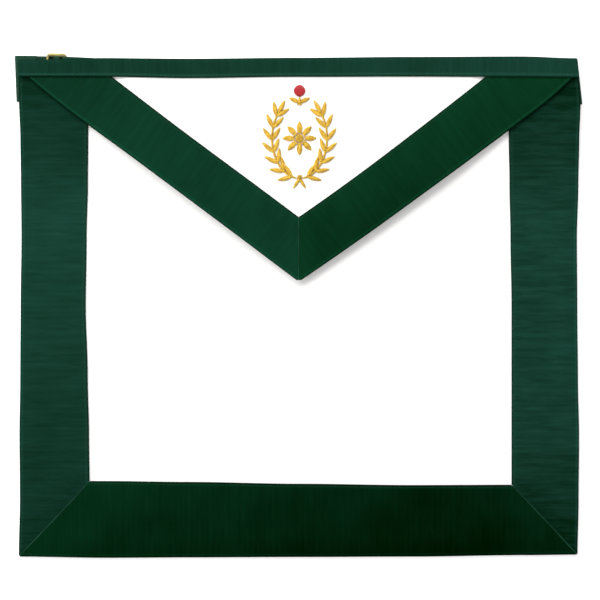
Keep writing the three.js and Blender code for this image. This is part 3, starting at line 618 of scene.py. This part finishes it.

# How each ribbon's green changes on it, as ribbon_finish_with_painted_light says. All of this is painted
# light and shade: its greens, shade, slope, tilt, ends and pale edges stand for how the light falls on that
# ribbon and on each arm of the flap. Wave is how high its slight waves stand.
LOOKS = {
    "left": {
        "greens": (BLUISH_DARK, BLUISH_LIGHT), "gloss": 0.01, "ripple_shade": 0.9, "wave": 0.06 * MM, "seed": 3,
        "shade": 0.78, "slope": 0.64, "tilt": 0, "first": (0.14, 60 * MM), "last": (0.8, 105 * MM),
        "selvage": 0.3, "fold": 0.3,
    },
    "right": {
        "greens": (BLUISH_DARK, BLUISH_LIGHT), "gloss": 0.012, "ripple_shade": 1.5, "wave": 0.12 * MM, "seed": 8,
        "shade": 0.86, "slope": 0.05, "tilt": 0, "first": (0.85, 90 * MM), "last": (0.7, 103 * MM),
        "selvage": 0.3, "fold": 0.4,
    },
    "foot": {
        "greens": (RIBBON_DARK, RIBBON_LEAF), "gloss": 0.0, "ripple_shade": 0.25, "wave": 0.06 * MM, "seed": 5,
        "shade": 0.22, "slope": -0.44, "tilt": 0.22, "first": (-0.06, 60 * MM), "last": (-0.33, 95 * MM),
        "selvage": 0.2, "fold": 0.15,
    },
    "flap_left": {
        "greens": (RIBBON_DARK, RIBBON_MID), "gloss": 0.012, "ripple_shade": 0.5, "wave": 0.05 * MM, "seed": 12,
        "shade": 0.78, "slope": 0, "tilt": 0, "first": (-0.12, 35 * MM), "last": (0.28, 80 * MM),
        "selvage": 0.15, "fold": 0.4,
    },
    "flap_right": {
        "greens": (RIBBON_DARK, RIBBON_LEAF), "gloss": 0.006, "ripple_shade": 0.5, "wave": 0.05 * MM, "seed": 21,
        "shade": 0.62, "slope": 0.18, "tilt": 0.24, "first": (-0.3, 35 * MM), "last": (0, 60 * MM),
        "selvage": 0.15, "fold": 0.4,
    },
    "band": {
        "greens": (BLUISH_DARK, BLUISH_LIGHT), "gloss": 0.012, "ripple_shade": 0.6, "wave": 0.04 * MM, "seed": 30,
        "shade": 0.69, "slope": 0.32, "tilt": 0, "first": (-0.15, 40 * MM), "last": (0, 30 * MM),
        "selvage": 0.5, "fold": 0.1,
    },
}

for side, name in ((-1, "left"), (1, "right")):
    outer, inner = side * HALF_WIDTH, side * (HALF_WIDTH - SIDE_RIBBON)
    quad = {
        "outer": [(outer, GAP), (outer, SIDE_TOP)],
        "inner": [(inner, FOOT_RIBBON + GAP), (inner, SIDE_TOP)],
    }
    section = same_section(edge_section(SIDE_RIBBON, FACE_MIDDLE, HEM_MIDDLE, HEM))
    ribbon = edge_ribbon("ribbon_" + name, quad, section, SIDE_RIBBON, body_under, LOOKS[name], sewing)
    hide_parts("border_" + name)

outer, inner = HALF_WIDTH - GAP, HALF_WIDTH - SIDE_RIBBON - GAP
quad = {"outer": [(-outer, 0), (outer, 0)], "inner": [(-inner, FOOT_RIBBON), (inner, FOOT_RIBBON)]}
section = same_section(edge_section(FOOT_RIBBON, FACE_MIDDLE, HEM_MIDDLE, HEM))
ribbon = edge_ribbon("ribbon_foot", quad, section, FOOT_RIBBON, body_under, LOOKS["foot"], sewing)
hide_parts("border_foot")

# At a mitre the upper ribbon is turned under, and its fold stands up as a fine ridge that catches the light;
# its paler green, fading in and out along it, is a painted highlight on top of that.
FOLD_RIDGE = 1 * MM
RIDGE_SUNK = 0.3 * FOLD_RIDGE
FOLD_LIT_GREEN = (0.0064, 0.049, 0.027, 1)
FOLD_UNLIT_GREEN = (0.002, 0.026, 0.011, 1)


def mitre_ridge(name, foot, head, face):
    """A low ridge along a mitre between two plan points, sunk in the face, its height given by face(x, y)."""
    share = np.linspace(0.015, 0.985, 90)
    x, y = (foot[axis] + (head[axis] - foot[axis]) * share for axis in (0, 1))
    line = on_cloth(x, y, face(x, y))[None]
    points, quads, uv = tubes(line, FOLD_RIDGE / 2 * (1 - 0.7 * (2 * share - 1) ** 12), sides=10)
    ridge = build_mesh(name, points, quads, uv)
    folded.give(ridge)
    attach(ridge, "root")


folded = Finish("folded_edge", "ribbon", Specular_IOR_Level=0.1, Roughness=0.6)
nap = folded.noise(folded.add("ShaderNodeTexCoord")["Object"], 1 / (0.9 * MM), 3.0)
catch = folded.noise(folded.add("ShaderNodeTexCoord")["Object"], 1 / (13 * MM), 2.0)
# Painted highlight: the ridge's colour goes between a dark green and a paler lit green along it.
folded.feed(
    Base_Color=folded.blend((catch * 0.8 + nap * 0.2).ramp(0.4, 0.62), FOLD_UNLIT_GREEN, FOLD_LIT_GREEN),
    Normal=folded.bump(nap, 0.1 * MM),
)
for side, name in ((-1, "left"), (1, "right")):
    mitre_ridge(
        "mitre_" + name, (side * HALF_WIDTH, 0), (side * (HALF_WIDTH - SIDE_RIBBON), FOOT_RIBBON),
        lambda x, y: body_under(x, y) + FACE_UNDER + RIBBON - RIDGE_SUNK,
    )


# The flap is a second piece of the same leather, a wide triangle sewn in at the waist, its point on the body.
# It hangs from the belt's height and comes down a little towards the point.
FLAP_CORNER_IN = 5 * MM
FLAP_DROP = 148.9 * MM
FLAP_SKEW = 1.5 * MM
TIP_RIBBON = 47.1 * MM
CORNER_RIBBON = 63 * MM
ARM_BOW = 3 * MM
ARM_BOW_LEAN = 0.85
EDGE_BOW = 3 * MM
EDGE_BOW_LEAN = 3.3
TIP_DROOP = 0.45

FLAP_SPREAD = HALF_WIDTH - FLAP_CORNER_IN
FLAP_TIP = BAND_LINE - FLAP_DROP
FLAP_SLOPE = FLAP_DROP / FLAP_SPREAD
OPENING_SPREAD = FLAP_SPREAD - CORNER_RIBBON
OPENING_DROP = FLAP_DROP - TIP_RIBBON
OPENING_SLOPE = OPENING_DROP / OPENING_SPREAD
OPENING_TIP = BAND_LINE - OPENING_DROP
FLAP_UNDER = FACE_UNDER + RIBBON + GAP
FLAP_FACE_UNDER = FLAP_UNDER + LEATHER + GAP


def flap_lift(x, y):
    """The belt's lift, less a share that grows with the square of the way down to the tip."""
    below = np.maximum(0, BELT_FOOT - y) / (BELT_FOOT - FLAP_TIP)
    return belt_lift(x) * (1 - TIP_DROOP * below ** 2)


def flap_hang(x, y):
    """The right arm, and the outer edge of both arms, hang below their straight lines by half a sine wave
    of the share of the way to the waist raised to a power, which moves its top along the arm."""
    def bow(share, lean):
        return np.sin(math.pi * np.clip(share, 0, 1) ** lean)

    opening_line = OPENING_TIP + np.abs(x) * OPENING_SLOPE
    outer_line = FLAP_TIP + np.abs(x) * FLAP_SLOPE
    outwards = np.maximum(0, (opening_line - y) / (opening_line - outer_line))
    edge_bow = EDGE_BOW * outwards * bow(np.abs(x) / FLAP_SPREAD, EDGE_BOW_LEAN)
    return y - ARM_BOW * bow(x / FLAP_SPREAD, ARM_BOW_LEAN) - edge_bow


def flap_place(across, down, face):
    inset = EDGE_IN * math.hypot(1, FLAP_SLOPE)
    foot = FLAP_TIP + np.abs(across) * FLAP_SLOPE + inset
    x = across + FLAP_SKEW * np.minimum(1, np.abs(across) / FLAP_SPREAD)
    y = flap_hang(x, HEIGHT - EDGE_IN + (foot - HEIGHT + EDGE_IN) * down)
    return on_cloth(x, y, flap_lift(x, y) + FLAP_UNDER + face * LEATHER)


flap_half = np.linspace(0, FLAP_SPREAD - EDGE_IN, 91)
flap = wall(
    "flap_panel", flap_place,
    np.concatenate([-flap_half[:0:-1], flap_half]), np.linspace(0, 1, 81),
    lambda x, down: (x, HEIGHT - down * (HEIGHT - FLAP_TIP)),
)
leather.give(flap)
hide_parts("flap_leather")
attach(flap, "root")


# The flap's two slanting edges carry a narrower ribbon, folded over the leather and mitred at the point.
# Their upper ends go under the waistband.
OUTER_TUCK = 1.2 * MM
INNER_TUCK = 7 * MM
TIP_BLUNT = 1.1 * MM

FLAP_RIBBON = TIP_RIBBON / math.hypot(1, FLAP_SLOPE)


def ribbon_hang(x, y):
    """The flap's hang, with the ribbons' point pressed blunt: nothing lies below a line above the tip."""
    return np.maximum(flap_hang(x, y), FLAP_TIP + TIP_BLUNT)


for side, name in ((-1, "left"), (1, "right")):
    mitre = side * GAP / 2
    quad = {
        "outer": [
            (mitre, FLAP_TIP),
            (side * (FLAP_SPREAD + OUTER_TUCK / FLAP_SLOPE) + FLAP_SKEW, BAND_LINE + OUTER_TUCK),
        ],
        "inner": [
            (mitre, OPENING_TIP),
            (side * (OPENING_SPREAD + INNER_TUCK / OPENING_SLOPE) - FLAP_SKEW, BAND_LINE + INNER_TUCK),
        ],
    }
    section = same_section(edge_section(FLAP_RIBBON, FLAP_FACE_UNDER + RIBBON / 2, FLAP_UNDER, 0))
    ribbon = edge_ribbon("flap_edging_" + name, quad, section, FLAP_RIBBON, flap_lift, LOOKS["flap_" + name],
                         sewing, ribbon_hang)
    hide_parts("flap_ribbon_" + name)

mitre_ridge(
    "mitre_flap", (0, FLAP_TIP + 0.7 * TIP_BLUNT), (0, OPENING_TIP),
    lambda x, y: flap_lift(x, y) + FLAP_FACE_UNDER + RIBBON - RIDGE_SUNK,
)


# The waist edge is bound with a strip of the same ribbon, sewn down in front and folded to the back.
# It lies a step higher where it crosses the flap's two ribbons.
BAND_STEP = 10 * MM
BAND_OVER_RIBBON = FLAP_FACE_UNDER + RIBBON + GAP


def band_sections(along):
    """The band's section for each share along, its height above the hem stretched where it crosses the
    flap's ribbons."""
    x = along * WIDTH - HALF_WIDTH
    crossed = ease((np.abs(x) - (OPENING_SPREAD - FLAP_SKEW - BAND_STEP)) / BAND_STEP)
    high = FLAP_FACE_UNDER + RIBBON / 2
    spots, normals = same_section(edge_section(BAND_FRONT, high, HEM_MIDDLE, BAND_BACK))(along)
    share = (spots[..., 1] - HEM_MIDDLE) / (high - HEM_MIDDLE)
    spots[..., 1] += (BAND_OVER_RIBBON - FLAP_FACE_UNDER) * crossed[:, None] * share
    return spots, normals


quad = {
    "outer": [(-HALF_WIDTH, HEIGHT), (HALF_WIDTH, HEIGHT)],
    "inner": [(-HALF_WIDTH, BAND_LINE), (HALF_WIDTH, BAND_LINE)],
}
band = edge_ribbon("waist_binding", quad, band_sections, BAND_FRONT, body_under, LOOKS["band"], band_sewing)
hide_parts("waistband")


# The belt is dark green elastic webbing in two straps, each sewn by its end to the apron's back.
# The left one doubles through the slide and loops into the clasp, the right one ends in a sewn loop on it.
STRAP_STEP = 1.5 * MM
WEBBING_DARK = (0.003, 0.022, 0.012, 1)
WEBBING_LIGHT = (0.012, 0.06, 0.034, 1)
WOVEN_EDGE = 0.25 * MM
TAB_LENGTH = 15 * MM
LEFT_FOLD_OUT = 3.6 * MM
RIGHT_FOLD_OUT = 1.2 * MM
LEFT_STRAP_DOWN = 15 * MM
CLASP_DOWN = 22 * MM
LEFT_FOLD_LEAN = -0.039
RIGHT_FOLD_LEAN = -0.11
LOOP_END = 12 * MM
RIGHT_LOOP_END = 26 * MM
SLIDE_BAR = 1.8 * MM
CLASP_LENGTH = 46 * MM
CLASP_BAR = 2.4 * MM

CLASP_Y = HEIGHT - CLASP_DOWN
CLASP_UNDER = STRAP_LAYER
LEFT_FOLD_X = -HALF_WIDTH - LEFT_FOLD_OUT + STRAP / 2
RIGHT_FOLD_X = HALF_WIDTH + RIGHT_FOLD_OUT - STRAP / 2
FLOOR_LAYER = STRAP / 2
SECOND_LAYER = FLOOR_LAYER + STRAP_LAYER
THIRD_LAYER = SECOND_LAYER + STRAP_LAYER
OVER_SLIDE = SLIDE_UNDER + METAL + GAP + STRAP / 2
OVER_CLASP = CLASP_UNDER + METAL + GAP + STRAP / 2
TURN = (METAL + 2 * GAP + STRAP) / 2
TIGHT_TURN = STRAP / 2 + GAP
WEAVE = SLIDE_BAR / 2 + GAP + STRAP / 2
CLASP_BAR_INNER = CLASP_LENGTH / 2 - CLASP_BAR
SLIDE_PITCH = (SLIDE_LENGTH - SLIDE_BAR) / 2
SLIDE_RIGHT = SLIDE_X + SLIDE_PITCH + SLIDE_BAR / 2


def belt_strap(name, corners, fold_x, fold_y, fold_lean):
    """A flat strap along a route in the upright plane. Its middle line eases from the fold's height to the
    clasp's, and it leans as the fold does at its end and squarely across the line elsewhere."""
    run = math.copysign(abs(fold_x) - CLASP_LENGTH / 2, -fold_x)
    eased = math.copysign(SLIDE_IN + LEFT_FOLD_OUT, run)
    spots, normals = route(corners, stride=STRAP_STEP)
    length = np.concatenate([[0], np.cumsum(np.linalg.norm(np.diff(spots, axis=0), axis=1))])

    def place(index, across, face):
        outwards = (face - 0.5) * STRAP * np.where(np.abs(across) > 0.49 * STRAP_WIDTH, 0.6, 1)
        x = spots[index, 0] + outwards * normals[index, 0]
        share = np.clip((x - fold_x) / run, 0, 1)
        fall = 6 * share * (1 - share) * (CLASP_Y - fold_y) / run
        lean = fold_lean + (-fall - fold_lean) * ease((x - fold_x) / eased)
        y = fold_y + (CLASP_Y - fold_y) * ease(share)
        z = spots[index, 1] + outwards * normals[index, 1]
        return np.stack([x + lean * across + PLAN_ORIGIN[0], y + across + PLAN_ORIGIN[1], z], axis=-1)

    reach = STRAP_WIDTH / 2 + WOVEN_EDGE
    across = np.linspace(-reach, reach, 41)
    piece = wall(name, place, np.arange(len(spots)), across, lambda index, v: (length[index], v))
    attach(piece, "root")
    return piece


webbing = Finish("elastic_webbing", "webbing", Roughness=0.8, Specular_IOR_Level=0.15)
thread = webbing.add("ShaderNodeSeparateXYZ", {}, [webbing.add("ShaderNodeUVMap", {"uv_map": "cloth"})["UV"]])
wales = (thread["Y"] * (math.pi / (1.0 * MM))).sine().size()
wefts = (thread["X"] * (math.pi / (0.7 * MM)) + wales * 0.8).sine().size()
fuzz = webbing.noise(webbing.add("ShaderNodeTexCoord")["Object"], 1 / (0.6 * MM), 3.0)
# Painted shade of the weave: the crests of the wales and wefts are painted lighter and the grooves between
# them darker. The fuzz is tone that differs at random.
webbing.feed(
    Base_Color=webbing.blend(wales * 0.5 + wefts * 0.3 + fuzz * 0.2, WEBBING_DARK, WEBBING_LIGHT),
    Roughness=fuzz * 0.2 + 0.65,
    Normal=webbing.bump(wales * 0.7 + wefts * 0.4 + fuzz * 0.2, 0.3 * MM),
)

tab_height = belt_lift(-HALF_WIDTH) - OVER_BELT - STRAP / 2
fold = min((tab_height - FLOOR_LAYER) / 2, STRAP + GAP)
left_strap = belt_strap("belt_left", [
    (LEFT_FOLD_X + TAB_LENGTH, tab_height, 0),
    (LEFT_FOLD_X, tab_height, fold),
    (LEFT_FOLD_X, FLOOR_LAYER, fold),
    (SLIDE_X - WEAVE, FLOOR_LAYER, TIGHT_TURN),
    (SLIDE_X - WEAVE, OVER_SLIDE, TIGHT_TURN),
    (SLIDE_X + WEAVE, OVER_SLIDE, TIGHT_TURN),
    (SLIDE_X + WEAVE, FLOOR_LAYER, TIGHT_TURN),
    (TURN - CLASP_BAR_INNER, FLOOR_LAYER, TURN),
    (TURN - CLASP_BAR_INNER, OVER_CLASP, TURN),
    (-CLASP_LENGTH / 2 - TURN, OVER_CLASP, TURN),
    (-CLASP_LENGTH / 2 - LOOP_END, SECOND_LAYER, TURN),
    (SLIDE_RIGHT - SLIDE_BAR - TURN, SECOND_LAYER, TURN),
    (SLIDE_RIGHT - SLIDE_BAR - TURN, OVER_SLIDE, TURN),
    (SLIDE_RIGHT + TURN, OVER_SLIDE, TURN),
    (SLIDE_RIGHT + LOOP_END / 2, THIRD_LAYER, TURN),
    (SLIDE_RIGHT + LOOP_END, THIRD_LAYER, 0),
], LEFT_FOLD_X, HEIGHT - LEFT_STRAP_DOWN, LEFT_FOLD_LEAN)
webbing.give(left_strap)
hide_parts("belt_strap_left")

tab_height = FOLD_STACK - OVER_BELT - STRAP / 2
fold = (tab_height - FLOOR_LAYER) / 2
right_strap = belt_strap("belt_right", [
    (RIGHT_FOLD_X - TAB_LENGTH, tab_height, 0),
    (RIGHT_FOLD_X, tab_height, fold),
    (RIGHT_FOLD_X, FLOOR_LAYER, fold),
    (CLASP_BAR_INNER - TURN, FLOOR_LAYER, TURN),
    (CLASP_BAR_INNER - TURN, OVER_CLASP, TURN),
    (CLASP_LENGTH / 2 + TURN, OVER_CLASP, TURN),
    (CLASP_LENGTH / 2 + LOOP_END, SECOND_LAYER, TURN),
    (CLASP_LENGTH / 2 + RIGHT_LOOP_END, SECOND_LAYER, 0),
], RIGHT_FOLD_X, HEIGHT - RIGHT_STRAP_DOWN, RIGHT_FOLD_LEAN)
webbing.give(right_strap)
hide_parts("belt_strap_right")


# The slide and the clasp are stamped from brass sheet, their edges tumbled round and the faces lightly
# scratched. Both keep their CAD shape, here with rounded edges.
TUMBLED = 0.25 * MM
SAME_POINT = 0.005 * MM
BRASS = (0.30, 0.26, 0.10, 1)
BRASS_DULL = (0.19, 0.16, 0.06, 1)


def stamped(name, node):
    """A merged copy of a CAD node with its edges rounded."""
    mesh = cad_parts[node].data.copy()
    mesh.name = name
    shell = bmesh.new()
    shell.from_mesh(mesh)
    bmesh.ops.remove_doubles(shell, verts=shell.verts, dist=SAME_POINT)
    shell.to_mesh(mesh)
    shell.free()
    mesh.polygons.foreach_set("use_smooth", np.ones(len(mesh.polygons), bool))
    piece = bpy.data.objects.new(name, mesh)
    bpy.context.scene.collection.objects.link(piece)
    rounded = piece.modifiers.new("tumbled_edges", "BEVEL")
    rounded.width = TUMBLED
    rounded.segments = 3
    rounded.limit_method = "ANGLE"
    rounded.angle_limit = math.radians(35)
    rounded.harden_normals = True
    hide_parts(node)
    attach(piece, "root")
    return piece


brass = Finish("brass", "brass", Metallic=1.0, Roughness=0.3)
spot = brass.add("ShaderNodeTexCoord")["Object"]
dull = brass.noise(spot, 1 / (7 * MM), 3.0)
drawn = brass.add("ShaderNodeVectorMath", {"operation": "MULTIPLY"}, [spot, (1.0, 0.06, 1.0)])["Vector"]
scored = brass.noise(drawn, 1 / (0.25 * MM), 2.0)
brass.feed(
    Base_Color=brass.blend(dull.ramp(0.35, 0.7), BRASS, BRASS_DULL),
    Roughness=dull * 0.15 + scored * 0.12 + 0.18,
    Normal=brass.bump(scored, 0.02 * MM),
)
for name, node in (("brass_slide", "belt_slide"), ("brass_clasp", "belt_clasp")):
    brass.give(stamped(name, node))


# The device on the flap is bullion work: coiled gilt wire laid in strands over padding and sewn to the
# leather. Two leafy sprays are tied at the foot, round an eight-petalled rosette with a coiled button.
WREATH_HALF_WIDTH = 20 * MM
WREATH_HALF_HEIGHT = 29 * MM
WREATH_START = 0.11
WREATH_END = 2.3
LEAF_LENGTH = 11.5 * MM
LEAF_WIDTH = 6.2 * MM
LEAF_FULLEST = 0.42
LEAF_PAIRS = 7
LEAF_SPLAY = 0.6
STEM = 2 * MM
PETALS = 8
ROSETTE_RADIUS = 12.5 * MM
PETAL_WIDTH = 8 * MM
BUTTON_RADIUS = 3.4 * MM
TIE_WIDTH = 3.6 * MM
TIE_HEIGHT = 4.4 * MM
TAIL_LENGTH = 9 * MM
TAIL_SPREAD = 0.55
PAD_HEIGHT = 0.95 * MM
WIRE = 0.8 * MM
WIRE_ANGLE = math.radians(38)
GILT_WORN_AND_GROOVE_SHADE = (0.50, 0.29, 0.03, 1)
GILT = (0.86, 0.60, 0.09, 1)


def gather(parts):
    """One part from several, each of points, quads and a UV pair for each point."""
    starts = np.cumsum([0] + [len(points) for points, _, _ in parts])
    return (
        np.concatenate([points for points, _, _ in parts]),
        np.concatenate([quads + start for (_, quads, _), start in zip(parts, starts)]),
        np.concatenate([uv for _, _, uv in parts]),
    )


def turned(part, angle, x, y):
    """The part turned about its origin by an angle, then moved."""
    points, quads, uv = part
    c, s = math.cos(angle), math.sin(angle)
    plan = points[:, :2] @ np.array([[c, s], [-s, c]]) + (x, y)
    return np.column_stack([plan, points[:, 2]]), quads, uv


def cushion(outline, middle, height):
    """A low dome on an outline of an even number of plan points: rings that shrink towards a middle as they
    rise."""
    turns = np.linspace(0, math.pi / 2, 6)[:, None]
    plan = middle + (np.asarray(outline) - middle)[None] * (0.04 + 0.96 * np.cos(turns))[..., None]
    z = 0.1 * MM + height * np.sin(turns) * np.ones(plan.shape[1])
    rings = np.concatenate([plan, z[..., None]], axis=-1)
    base = np.concatenate([plan[:1], np.full((1, plan.shape[1], 1), 0.02 * MM)], axis=-1)
    points, quads = skin(np.concatenate([base, rings])[None])
    return points, quads, points[:, :2]


def wires(lines, width=WIRE):
    """Bullion wires along lines, their ends drawn in."""
    share = np.linspace(-1, 1, lines.shape[1])
    return tubes(lines, width / 2 * (1 - 0.55 * share ** 8))


def bullion_leaf(length, width):
    """A pointed leaf along +Y: two curves that meet at its ends, filled from a middle wire with slanting
    wires."""
    t = np.linspace(0, 1, 60)
    half, up = t * (1 - t) * width, 2 * t * (1 - t) * LEAF_FULLEST * length + t ** 2 * length
    some = np.linspace(2, 57, 12).astype(int)
    edge = np.stack([half[some], up[some]], -1)
    outline = np.concatenate([edge, (edge * (-1, 1))[::-1]])
    pad = cushion(outline * (0.94, 1), np.array([0, LEAF_FULLEST * length]), PAD_HEIGHT)
    roots = up - half / math.tan(WIRE_ANGLE)
    count = int(length / (WIRE * 1.35))
    rows = np.interp(np.linspace(0.02, 0.86, count) * length, roots, np.arange(60))
    ends = np.stack([np.interp(rows, np.arange(60), half), np.interp(rows, np.arange(60), up)], -1)
    starts = np.stack([np.zeros(count), np.linspace(0.02, 0.86, count) * length], -1)
    share = np.linspace(0, 1, 8)[:, None]
    plan = starts[:, None] + (ends - starts)[:, None] * share
    rise = PAD_HEIGHT * np.sqrt(np.clip(1.04 - share[:, 0] ** 2, 0, 1)) + 0.3 * WIRE
    fuller = np.clip(ends[:, 0] / (0.22 * width), 0.45, 1)[:, None]
    slanting = [wires(np.concatenate([plan * (side, 1), (rise * fuller)[..., None]], axis=-1))
                for side in (-1, 1)]
    middle = np.linspace(0.01, 0.97, 20)
    high = PAD_HEIGHT * np.sin(math.pi * np.clip(middle, 0.12, 0.9)) ** 0.5 + 0.55 * WIRE
    vein = wires(np.stack([0 * middle, middle * length, high], -1)[None], 0.9 * WIRE)
    return gather([pad, *slanting, vein])


def cord(line, width):
    """Two plies twisted round a line of (n, 3) points, evenly spaced."""
    way = np.gradient(line, axis=0)
    way /= np.linalg.norm(way, axis=1, keepdims=True)
    side = np.cross(way, (0, 0, 1))
    run = np.concatenate([[0], np.cumsum(np.linalg.norm(np.diff(line, axis=0), axis=1))])[:, None]
    plies = []
    for start in (0, math.pi):
        angle = start + run * 2 * math.pi / (1.7 * width)
        plies.append(line + 0.26 * width * (np.cos(angle) * side + np.sin(angle) * np.array([0, 0, 1])))
    return wires(np.stack(plies), 0.52 * width)


def wreath_point(angle, side):
    return side * WREATH_HALF_WIDTH * np.sin(angle), -WREATH_HALF_HEIGHT * np.cos(angle)


def spray(side):
    """Half an oval of cord with a pair of leaves for each step and one at its tip."""
    angles = np.linspace(WREATH_START, WREATH_END, 150)
    line = np.stack([*wreath_point(angles, side), np.full(150, 0.62 * MM)], -1)
    parts = [cord(line, 0.85 * STEM)]
    pairs = WREATH_START + (WREATH_END - WREATH_START) * (np.arange(LEAF_PAIRS) + 0.5) / LEAF_PAIRS
    places = [(angle, splay) for angle in pairs for splay in (-LEAF_SPLAY, LEAF_SPLAY)]
    for angle, splay in places + [(WREATH_END - STEM / WREATH_HALF_HEIGHT, 0)]:
        heading = math.atan2(WREATH_HALF_HEIGHT * math.sin(angle), side * WREATH_HALF_WIDTH * math.cos(angle))
        parts.append(turned(bullion_leaf(LEAF_LENGTH, LEAF_WIDTH), heading - math.pi / 2 + splay,
                            *wreath_point(angle, side)))
    return gather(parts)


def knot(width, height):
    """A padded block wrapped with wires across it."""
    corners = [(1, -0.6), (1, 0.6), (0.7, 1), (-0.7, 1), (-1, 0.6), (-1, -0.6), (-0.7, -1), (0.7, -1)]
    pad = cushion(np.array(corners) * (width / 2, height / 2) * 0.9, np.zeros(2), PAD_HEIGHT)
    rows = np.linspace(-0.42, 0.42, int(height / WIRE)) * height
    bend = np.linspace(-1, 1, 9)
    over = 0.25 * WIRE + 1.15 * MM * np.sqrt(1.06 - bend ** 2)
    lines = [np.stack([bend * width / 2, np.full(9, row), over], -1) for row in rows]
    return gather([pad, wires(np.array(lines))])


def tie():
    tails = [turned(bullion_leaf(TAIL_LENGTH, 2 * STEM), math.pi + side * TAIL_SPREAD, 0, -WREATH_HALF_HEIGHT)
             for side in (-1, 1)]
    return gather([turned(knot(TIE_WIDTH, TIE_HEIGHT), 0, 0, -WREATH_HALF_HEIGHT), *tails])


def rosette():
    start = BUTTON_RADIUS + GAP
    angles = np.arange(PETALS) * 2 * math.pi / PETALS
    petals = [turned(bullion_leaf(ROSETTE_RADIUS - start, PETAL_WIDTH), angle - math.pi / 2,
                     math.cos(angle) * start, math.sin(angle) * start) for angle in angles]
    ring = np.linspace(0, 2 * math.pi, 90)
    radius = start + 0.5 * MM
    line = np.stack([radius * np.cos(ring), radius * np.sin(ring), np.full(90, 1.05 * MM)], -1)
    return gather([*petals, cord(line, 1.2 * MM)])


def button():
    """A dome covered with one wire, coiled from the rim to the middle."""
    angles = np.linspace(0, 2 * math.pi, 24, endpoint=False)
    rim = 0.9 * BUTTON_RADIUS * np.stack([np.cos(angles), np.sin(angles)], -1)
    pad = cushion(rim, np.zeros(2), PAD_HEIGHT)
    radius = np.linspace(BUTTON_RADIUS - WIRE / 2, 0.25 * WIRE, 130)
    coil = (BUTTON_RADIUS - radius) / WIRE * 2 * math.pi
    high = 0.4 * WIRE + 1.05 * MM * np.sqrt(1.05 - (radius / BUTTON_RADIUS) ** 2)
    return gather([pad, wires(np.stack([radius * np.cos(coil), radius * np.sin(coil), high], -1)[None])])


def lay_on_flap(name, part, node, finish):
    """Makes a part of the device: moved to its middle and raised by the height of the flap's face there."""
    points, quads, uv = part
    x, y = points[:, 0], points[:, 1] + HEIGHT - DEVICE_DOWN
    z = points[:, 2] + flap_lift(x, y) + FLAP_UNDER + LEATHER
    piece = build_mesh(name, np.stack([x + PLAN_ORIGIN[0], y + PLAN_ORIGIN[1], z], -1), quads, uv)
    finish.give(piece)
    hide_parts(node)
    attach(piece, "root")


gilt = Finish("gilt_wire", "bullion", Metallic=0.85, Roughness=0.4)
coil = gilt.add("ShaderNodeSeparateXYZ", {}, [gilt.add("ShaderNodeUVMap", {"uv_map": "cloth"})["UV"]])
turns = (coil["X"] * (2 * math.pi / (0.4 * MM)) + coil["Y"]).sine() * 0.5 + 0.5
worn = gilt.noise(gilt.add("ShaderNodeTexCoord")["Object"], 1 / (2.5 * MM), 3.0)
# The coils' grooves are painted darker, as painted shade. The broad worn patches are the gilt's own wear.
gilt.feed(
    Base_Color=gilt.blend(worn.ramp(0.35, 0.7) * 0.6 + turns * 0.4, GILT_WORN_AND_GROOVE_SHADE, GILT),
    Roughness=worn * 0.2 + 0.3,
    Normal=gilt.bump(turns, 0.05 * MM),
)
lay_on_flap("gilt_spray_left", spray(-1), "spray_left", gilt)
lay_on_flap("gilt_spray_right", spray(1), "spray_right", gilt)
lay_on_flap("gilt_tie", tie(), "spray_tie", gilt)
lay_on_flap("gilt_rosette", rosette(), "rosette", gilt)
lay_on_flap("gilt_button", button(), "rosette_button", gilt)


# Above the rosette is a red bud in satin stitch, silk thread laid side by side over padding.
# It sits in a calyx of gilt wire like the leaves.
BUD_RADIUS = 4.3 * MM
BUD_UP = 34.5 * MM
CALYX_LEAF = 8.5 * MM
CALYX_SPREAD = 1.15
CALYX_DROP = 4.2 * MM
SILK = 0.55 * MM
SILK_DARK = (0.30, 0.010, 0.016, 1)
SILK_RED = (0.52, 0.032, 0.036, 1)


def bud():
    """Silk threads up the bud's length over a dome, a little bowed, each as long as the round is there."""
    angles = np.linspace(0, 2 * math.pi, 24, endpoint=False)
    pad = cushion(0.93 * BUD_RADIUS * np.stack([np.cos(angles), np.sin(angles)], -1), np.zeros(2), 1.25 * MM)
    across = np.linspace(-0.9, 0.9, 15)[:, None] * BUD_RADIUS
    bend = np.linspace(-1, 1, 13)
    y = np.sqrt(BUD_RADIUS ** 2 - across ** 2) * bend
    x = across * (1 - 0.12 * bend ** 2)
    high = 0.35 * SILK + 1.35 * MM * np.sqrt(np.clip(1.04 - (x ** 2 + y ** 2) / BUD_RADIUS ** 2, 0, 1))
    return turned(gather([pad, wires(np.stack([x, y, high], -1), 1.15 * SILK)]), 0, 0, BUD_UP)


def calyx():
    """Two leaves at the sides of a short one that ends at the bud, sprung from a small knot."""
    root = BUD_UP - BUD_RADIUS - CALYX_DROP
    sides = [turned(bullion_leaf(CALYX_LEAF, LEAF_WIDTH), side * CALYX_SPREAD, 0, root) for side in (-1, 1)]
    middle = turned(bullion_leaf(CALYX_DROP - GAP, 0.6 * LEAF_WIDTH), 0, 0, root)
    return gather([turned(knot(TIE_WIDTH, TIE_WIDTH), 0, 0, root), middle, *sides])


silk = Finish("red_silk", "red_silk", Specular_IOR_Level=0.35, Roughness=0.4)
strand = silk.add("ShaderNodeSeparateXYZ", {}, [silk.add("ShaderNodeUVMap", {"uv_map": "cloth"})["UV"]])
fibres = silk.add("ShaderNodeCombineXYZ", {}, [strand["X"] * 300, strand["Y"] * 3, 0.0])["Vector"]
filament = silk.noise(fibres, 1.0, 3.0)
silk.feed(
    Base_Color=silk.blend(filament.ramp(0.3, 0.7), SILK_DARK, SILK_RED),
    Roughness=filament * 0.2 + 0.3,
    Normal=silk.bump(filament, 0.05 * MM),
)
lay_on_flap("silk_bud", bud(), "bud", silk)
lay_on_flap("gilt_calyx", calyx(), "bud_calyx", gilt)
